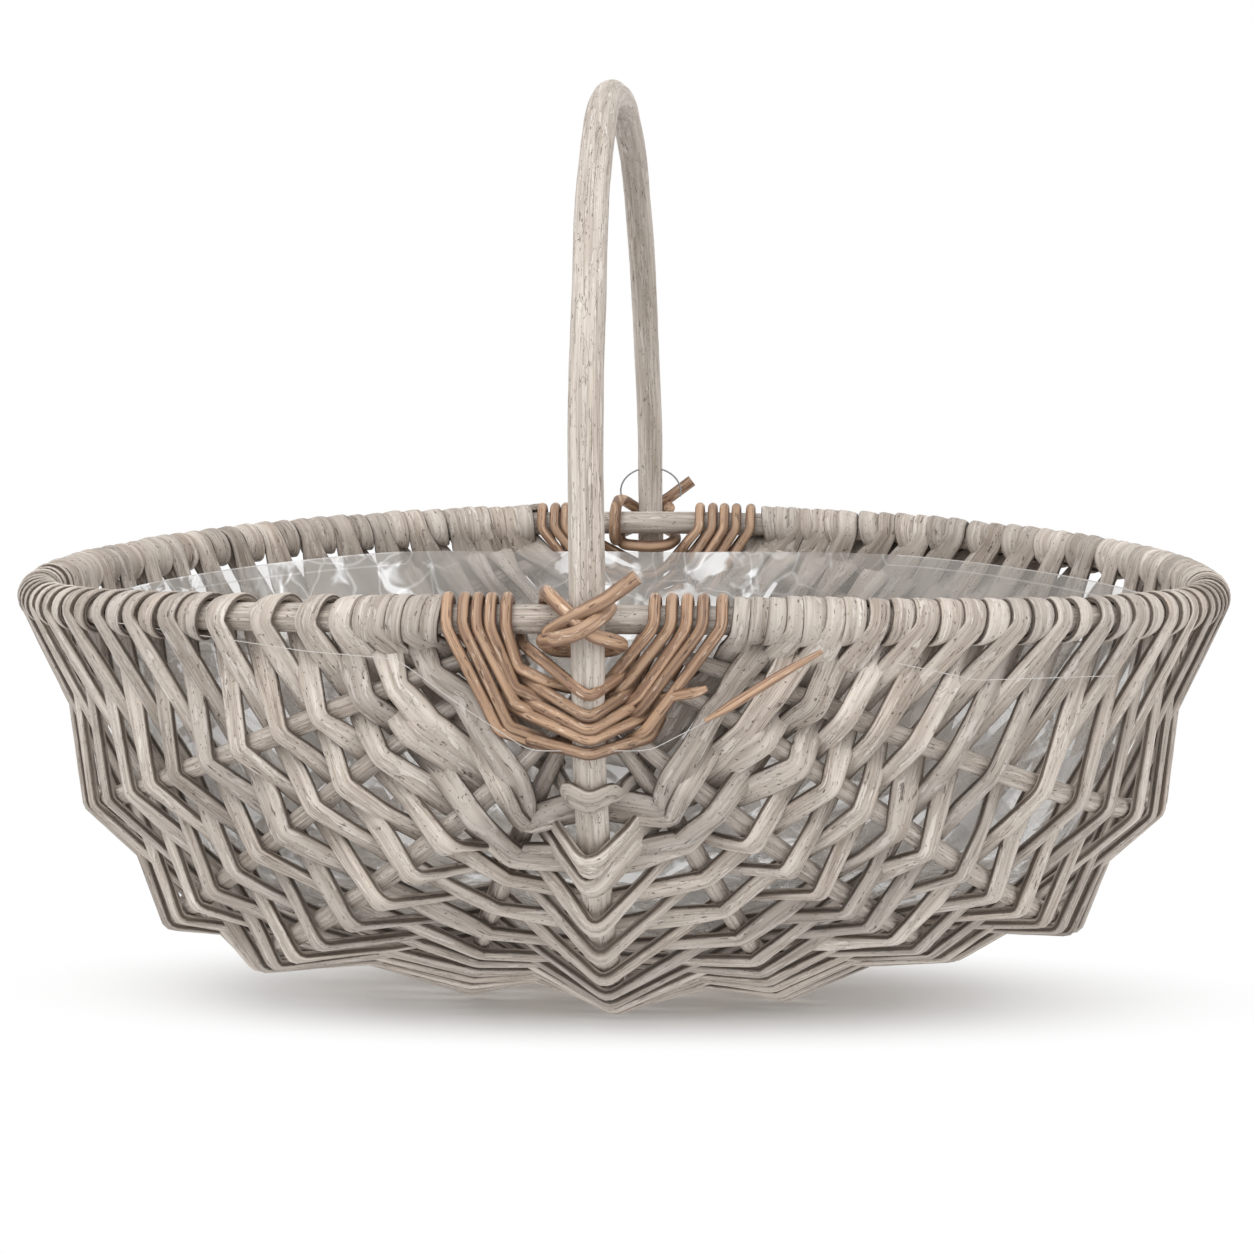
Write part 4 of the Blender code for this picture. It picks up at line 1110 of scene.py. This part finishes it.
# Cross lashing at the front ear: x, y, z and roundness of each bend
CROSS_RADIUS = 0.0035
CROSS_KNOTS = (
    (0.0234, -0.2830, 0.2500, 0.004), (0.0093, -0.2815, 0.2395, 0.02), (-0.0056, -0.2790, 0.2313, 0.02),
    (-0.0170, -0.2640, 0.2230, 0.008), (-0.0200, -0.2540, 0.2165, 0.008), (-0.0205, -0.2440, 0.2175, 0.008),
    (-0.0205, -0.2395, 0.2270, 0.008), (-0.0200, -0.2430, 0.2370, 0.008), (-0.0190, -0.2540, 0.2400, 0.008),
    (-0.0170, -0.2640, 0.2400, 0.012), (-0.0027, -0.2800, 0.2290, 0.02), (0.0040, -0.2800, 0.2235, 0.012),
    (0.0134, -0.2690, 0.2195, 0.008), (0.0150, -0.2580, 0.2170, 0.006), (0.0110, -0.2510, 0.2140, 0.008),
    (0.0000, -0.2500, 0.2130, 0.01), (-0.0160, -0.2530, 0.2140, 0.006), (-0.0204, -0.2620, 0.2190, 0.006),
    (-0.0130, -0.2760, 0.2215, 0.01), (-0.0034, -0.2850, 0.2249, 0.02), (0.0027, -0.2845, 0.2285, 0.01),
    (0.0090, -0.2760, 0.2330, 0.006), (0.0105, -0.2690, 0.2350, 0.004),
)


def cross_lashing_route():
    route = Route()
    for x, y, z, bend in CROSS_KNOTS:
        face = unit(np.array((0.1, y, 0.1)))
        route.add((x, y, z), CROSS_RADIUS, CROSS_RADIUS * TIE_FLATNESS, face, bend)
    return route


class BASKET_OT_lashings(bpy.types.Operator):
    """Winds the brown lashings and the cross ties at both ears"""

    bl_idname = "basket.wind_lashings"
    bl_label = "Wind Brown Lashings"

    def execute(self, context):
        brown = finish_of("brown willow")
        for half in (FRONT, BACK):
            for kind, wind in (("ear_lashing", ear_lashing_route), ("cross_lashing", cross_lashing_route)):
                columns = wind().smooth(LASHING_STEP)
                if half == BACK:
                    columns = columns * MIRROR
                tone = TONE_WAVE[0] + TONE_WAVE[1] * np.sin(np.arange(len(columns)) * TONE_WAVE[2])
                name = f"{kind}_rod_{half}"
                piece = add_rods(name, [(columns, tone)], brown, LASHING_SWEEP, seed=len(name))
                settle(piece, "brown_willow", f"{kind}_{half}")
        return {"FINISHED"}


# Film lining
FILM_FIRST_ROW = 8.0
FILM_CLEARANCE = 0.0118
FILM_BULGE = 0.006
FILM_EDGE_INSET = 0.0118
FILM_BEND = 0.05
GUSSET_STEPS = 21
FILM_STEP = 0.004
FREE_DEPTH = 0.03
EDGE_CRUMPLE = 0.25
CRUMPLE_CENTRE_RISE = 0.1
FOLD_COUNT = 15
FOLD_LENGTHS = (0.035, 0.11)
FOLD_PATCHES = (14, 34)
FOLD_WARP = 0.012
FOLD_WARP_TURN = 23
FOLD_SHARE = 0.45


def film_section(row, edge_drop, steps):
    """A cross section of the lining at even steps, just inside the ribs, from its left edge to its right."""
    centres, directions, radii = crossings(row)
    ends = []
    for side in (LEFT, RIGHT):
        centre, outward = rim_place(side, rim_distance(side, row))
        ends.append(centre - outward * FILM_EDGE_INSET - UP * edge_drop)
    outwards = outward_directions([ends[0], *centres, ends[1]], directions)
    insets = [radius + FILM_CLEARANCE for radius in radii]
    places = [centre - outward * inset for centre, outward, inset in zip(centres, outwards, insets)]
    route = Route()
    for place in (ends[0], *places, ends[1]):
        route.add(place, 1, 1, UP, FILM_BEND)
    line = Line(route.smooth(FILM_STEP)[:, :3])
    return line.at(np.linspace(0, line.length, steps + 1))


def creases(places, rng):
    """Folds of crumpled film as sums of sharp triangle waves, from 0 to 1."""
    total, weights = 0.0, 0.0
    warp = FOLD_WARP * np.sin(places[:, ::-1] * FOLD_WARP_TURN + 1.3)
    for _ in range(FOLD_COUNT):
        direction = unit(rng.normal(0, 1, 3))
        length = rng.uniform(*FOLD_LENGTHS)
        phase = ((places + warp) @ direction / length + rng.uniform(0, 1)) % 1.0
        patches = (places @ unit(rng.normal(0, 1, 3))) * rng.uniform(*FOLD_PATCHES) + rng.uniform(0, 6)
        total = total + length * np.clip(np.sin(patches), 0, 1) * np.abs(2 * phase - 1)
        weights += length * FOLD_SHARE
    return total / weights


class BASKET_OT_lining(bpy.types.Operator):
    """Lays the crumpled clear film into the basket"""

    bl_idname = "basket.lay_lining"
    bl_label = "Lay Film Lining"

    def execute(self, context):
        sizes = context.scene.basket_lining
        rng = np.random.default_rng(sizes.seed)
        rows = np.linspace(FILM_FIRST_ROW, ROWS - 0.5, sizes.lengthwise + 1)
        sections = [film_section(row, sizes.edge_drop, sizes.across) for row in rows]
        sections += [section * (1, -1, 1) for section in reversed(sections[:-1])]
        sections = [*self.gusset(sections[0])[::-1], *sections, *self.gusset(sections[-1])]
        count, across = len(sections), len(sections[0])
        corners = [row * across + index for row in range(count - 1) for index in range(across - 1)]
        faces = [(corner, corner + 1, corner + across + 1, corner + across) for corner in corners]
        places = np.array(sections).reshape(-1, 3)
        inward = BASKET_MIDDLE + UP * CRUMPLE_CENTRE_RISE - places
        inward /= np.linalg.norm(inward, axis=1)[:, None]
        share = np.tile(np.linspace(0, 1, across), count)
        lengths = np.repeat([distances_along(section)[-1] for section in sections], across)
        depth = np.minimum(share, 1 - share) * lengths
        free = EDGE_CRUMPLE + (1 - EDGE_CRUMPLE) * np.clip(depth / FREE_DEPTH, 0, 1)
        places = places + inward * (creases(places, rng) * free * sizes.crumple)[:, None]
        mesh = bpy.data.meshes.new("film_lining")
        mesh.from_pydata(places.tolist(), [], faces)
        add_attribute(mesh, "film_depth", depth)
        mesh.shade_smooth()
        mesh.materials.append(finish_of("clear film"))
        piece = new_object("film_lining", mesh)
        settle(piece, "clear_film", "film_liner")
        return {"FINISHED"}

    def gusset(self, end):
        """The sections that close the lining behind an ear, from its end section to a straight chord."""
        outward = unit(np.array((0.0, end[0][1], 0.0)))
        chord = np.linspace(end[0], end[-1], len(end))
        bow = np.sin(np.linspace(0, math.pi, len(end)))[:, None]
        added = []
        for share in np.linspace(0, 1, GUSSET_STEPS + 1)[1:]:
            bulge = outward * FILM_BULGE * math.sin(math.pi * share / 2)
            added.append(end + (chord - end) * share + bulge * bow)
        return added


# Loose ends with x, y, z and radius of each knot, thread with x and z, and the wire loop
TAIL_KNOTS = (
    (0.1044, -0.2650, 0.2157, 0.0012), (0.0850, -0.2672, 0.2045, 0.0022), (0.0640, -0.2665, 0.1910, 0.0024),
    (0.0527, -0.2640, 0.1839, 0.0010),
)
TIP_KNOTS = (
    (0.0534, -0.2660, 0.1988, 0.0016), (0.0490, -0.2650, 0.1968, 0.0026), (0.0420, -0.2600, 0.1950, 0.0026),
    (0.0330, -0.2530, 0.1925, 0.0024),
)
TAIL_FLATNESS = 0.75
TAIL_STEP = 0.0015
THREAD_RADIUS = 0.0002
THREAD_STEP = 0.004
THREAD_RUNS = (
    (
        (-0.2310, 0.2177), (-0.1290, 0.2117), (-0.0860, 0.2098), (-0.0560, 0.1890), (-0.0260, 0.1697),
        (0.0280, 0.1702), (0.0640, 0.1890), (0.1035, 0.2158),
    ),
    ((0.1380, 0.2080), (0.1744, 0.1984), (0.2405, 0.1945)),
)
THREAD_STANDOFF = 0.0150
WIRE_RADIUS = 0.0005
WIRE_STEP = 0.002
WIRE_LOOP = (0.018, 0.014)
WIRE_DROP = 0.018
WIRE_STANDOFF = 0.004


class BASKET_OT_loose(bpy.types.Operator):
    """Adds the broken rod ends, the nylon thread and the wire loop"""

    bl_idname = "basket.add_loose_ends"
    bl_label = "Add Loose Ends"

    def execute(self, context):
        for name, knots, tone in (("rod_tail", TAIL_KNOTS, 1.0), ("broken_tip", TIP_KNOTS, 0.7)):
            route = Route()
            for x, y, z, radius in knots:
                route.add((x, y, z), radius, radius * TAIL_FLATNESS, (0, -1, 0), 0.03)
            strands = [(route.smooth(TAIL_STEP), tone)]
            piece = add_rods(name, strands, finish_of("brown willow"), TAIL_SWEEP, seed=len(name))
            settle(piece, "brown_willow")
        strands = []
        for run in THREAD_RUNS:
            route = Route()
            for x, z in run:
                place = (x, rim_centre_at(x)[1] - THREAD_STANDOFF, z)
                route.add(place, THREAD_RADIUS, THREAD_RADIUS, (0, -1, 0), 0.02)
            strands.append((route.smooth(THREAD_STEP), 0.5))
        thread = plain_finish("nylon thread", shade(215, 212, 208), 0.3, alpha=0.7)
        piece = add_rods("nylon_thread", strands, thread, THREAD_SWEEP)
        settle(piece, "clear_film")
        route = Route()
        centre = HANDLE_LINE.at(HANDLE_LINE.length - WIRE_DROP)
        for turn in np.linspace(-0.075, 1.075, 20) * math.pi:
            ring = (WIRE_LOOP[0] * math.cos(turn), -WIRE_STANDOFF, WIRE_LOOP[1] * math.sin(turn))
            route.add(centre + ring, WIRE_RADIUS, WIRE_RADIUS, (0, 1, 0), 0.01)
        wire = plain_finish("tie wire", shade(150, 150, 150), 0.35, metallic=0.8)
        piece = add_rods("wire_loop", [(route.smooth(WIRE_STEP), 0.5)], wire, WIRE_SWEEP)
        settle(piece, "grey_handle")
        return {"FINISHED"}


# Studio
CAMERA_TURN = 0.0613919
CAMERA_PITCH = 0.1175597
CAMERA_DISTANCE = 1.78262
CAMERA_FOCAL_PIXELS = 3411.79
PHOTO_PIXELS = 1254
SENSOR = 36.0
CAMERA_ASIDE = 0.001592
CAMERA_TARGET_HEIGHT = 0.194409
FLOOR_HALF = 6.0
LAMP_TARGET = (0.0, 0.0, 0.15)
KEY_PLACE = (-0.7, -1.7, 2.3)
KEY_SIZE = 2.2
FILL_PLACE = (2.0, -1.2, 1.2)
FILL_SIZE = 1.8

# The shadow on the floor: half its length and depth, its share, where it fades, and what the floor gives back
SHADOW_REACH = (0.50, 0.18)
SHADOW_SHARE = 0.95
SHADOW_FADE = (0.20, 0.75)
BOUNCE_SHARE = 0.85


class BASKET_OT_stage(bpy.types.Operator):
    """Sets the pale floor, the soft lights and the camera"""

    bl_idname = "basket.set_stage"
    bl_label = "Set Stage"

    def execute(self, context):
        settings = context.scene.basket_stage
        self.make_floor(settings)
        self.make_world(context, settings)
        self.make_lamp("key light", KEY_PLACE, KEY_SIZE, settings.key_power)
        self.make_lamp("fill light", FILL_PLACE, FILL_SIZE, settings.fill_power)
        self.make_camera(context)
        context.scene.view_settings.view_transform = "Standard"
        return {"FINISHED"}

    def make_floor(self, settings):
        mesh = bpy.data.meshes.new("floor")
        corners = [(x * FLOOR_HALF, y * FLOOR_HALF, 0) for x, y in ((-1, -1), (1, -1), (1, 1), (-1, 1))]
        mesh.from_pydata(corners, [], [(0, 1, 2, 3)])
        floor = new_object("floor", mesh)
        material, nodes = new_finish("pale floor")
        spread = nodes.object_place() * (1 / SHADOW_REACH[0], 1 / SHADOW_REACH[1], 0.0)
        fade = nodes.ramp(nodes.vector_math("LENGTH", spread, result="Value"), *SHADOW_FADE)
        seen = nodes.seen()
        share = seen * (1 - (1 - fade) * SHADOW_SHARE) + (1 - seen) * BOUNCE_SHARE
        diffuse = nodes.add("ShaderNodeBsdfDiffuse", {}, {"Color": tuple(settings.floor_colour)})
        glow = nodes.add("ShaderNodeEmission", {}, {"Color": WHITE, "Strength": 1.0})
        surface = nodes.add("ShaderNodeMixShader", {}, {0: share, 1: diffuse, 2: glow})
        nodes.add("ShaderNodeOutputMaterial", {}, {"Surface": surface})
        mesh.materials.append(material)

    def make_world(self, context, settings):
        world = bpy.data.worlds.new("studio")
        world.use_nodes = True
        context.scene.world = world
        nodes = Nodes(world.node_tree)
        soft, white = [
            nodes.add("ShaderNodeBackground", {}, {"Color": WHITE, "Strength": strength})
            for strength in (settings.sky, 1.0)
        ]
        surface = nodes.add("ShaderNodeMixShader", {}, {0: nodes.seen(), 1: soft, 2: white})
        nodes.add("ShaderNodeOutputWorld", {}, {"Surface": surface})

    def make_lamp(self, name, place, size, power):
        data = bpy.data.lights.new(name, "AREA")
        data.shape, data.size, data.energy = "DISK", size, power
        lamp = new_object(name, data)
        lamp.location = place
        aim = Vector(place) - Vector(LAMP_TARGET)
        lamp.rotation_euler = aim.to_track_quat("Z", "Y").to_euler()

    def make_camera(self, context):
        turn, pitch = CAMERA_TURN, CAMERA_PITCH
        level = math.cos(pitch)
        ahead = np.array((-math.sin(turn) * level, math.cos(turn) * level, -math.sin(pitch)))
        right = np.array((math.cos(turn), math.sin(turn), 0.0))
        up = np.cross(right, ahead)
        place = np.array((0, 0, CAMERA_TARGET_HEIGHT)) + right * CAMERA_ASIDE - ahead * CAMERA_DISTANCE
        data = bpy.data.cameras.new("camera")
        data.sensor_width = SENSOR
        data.lens = CAMERA_FOCAL_PIXELS / PHOTO_PIXELS * SENSOR
        camera = new_object("camera", data)
        rows = [(right[axis], up[axis], -ahead[axis], place[axis]) for axis in range(3)]
        camera.matrix_world = Matrix((*rows, (0, 0, 0, 1)))
        context.scene.camera = camera


class BASKET_PT_panel(bpy.types.Panel):
    """Lists the steps that finish the basket"""

    bl_idname = "BASKET_PT_panel"
    bl_label = "Harvest Basket"
    bl_space_type = "VIEW_3D"
    bl_region_type = "UI"
    bl_category = "Basket"

    def draw(self, context):
        for place in GROUPS:
            group = getattr(context.scene, place)
            box = self.layout.box()
            for name in group.__annotations__:
                box.prop(group, name)
        for step in STEPS:
            self.layout.operator(step.bl_idname)


STEPS = (
    BASKET_OT_frame, BASKET_OT_weave, BASKET_OT_lashings, BASKET_OT_lining, BASKET_OT_loose, BASKET_OT_stage,
)
GROUPS = {"basket_strands": StrandSizes, "basket_lining": LiningSizes, "basket_stage": StageSettings}
CLASSES = (*GROUPS.values(), *STEPS, BASKET_PT_panel)


def register():
    for item in CLASSES:
        bpy.utils.register_class(item)
    for place, group in GROUPS.items():
        setattr(bpy.types.Scene, place, PointerProperty(type=group))


def unregister():
    for place in GROUPS:
        delattr(bpy.types.Scene, place)
    for item in reversed(CLASSES):
        bpy.utils.unregister_class(item)


def main():
    register()
    bpy.ops.basket.make_frame()
    bpy.ops.basket.weave_strands()
    bpy.ops.basket.wind_lashings()
    bpy.ops.basket.lay_lining()
    bpy.ops.basket.add_loose_ends()
    bpy.ops.basket.set_stage()


if __name__ == "__main__":
    main()
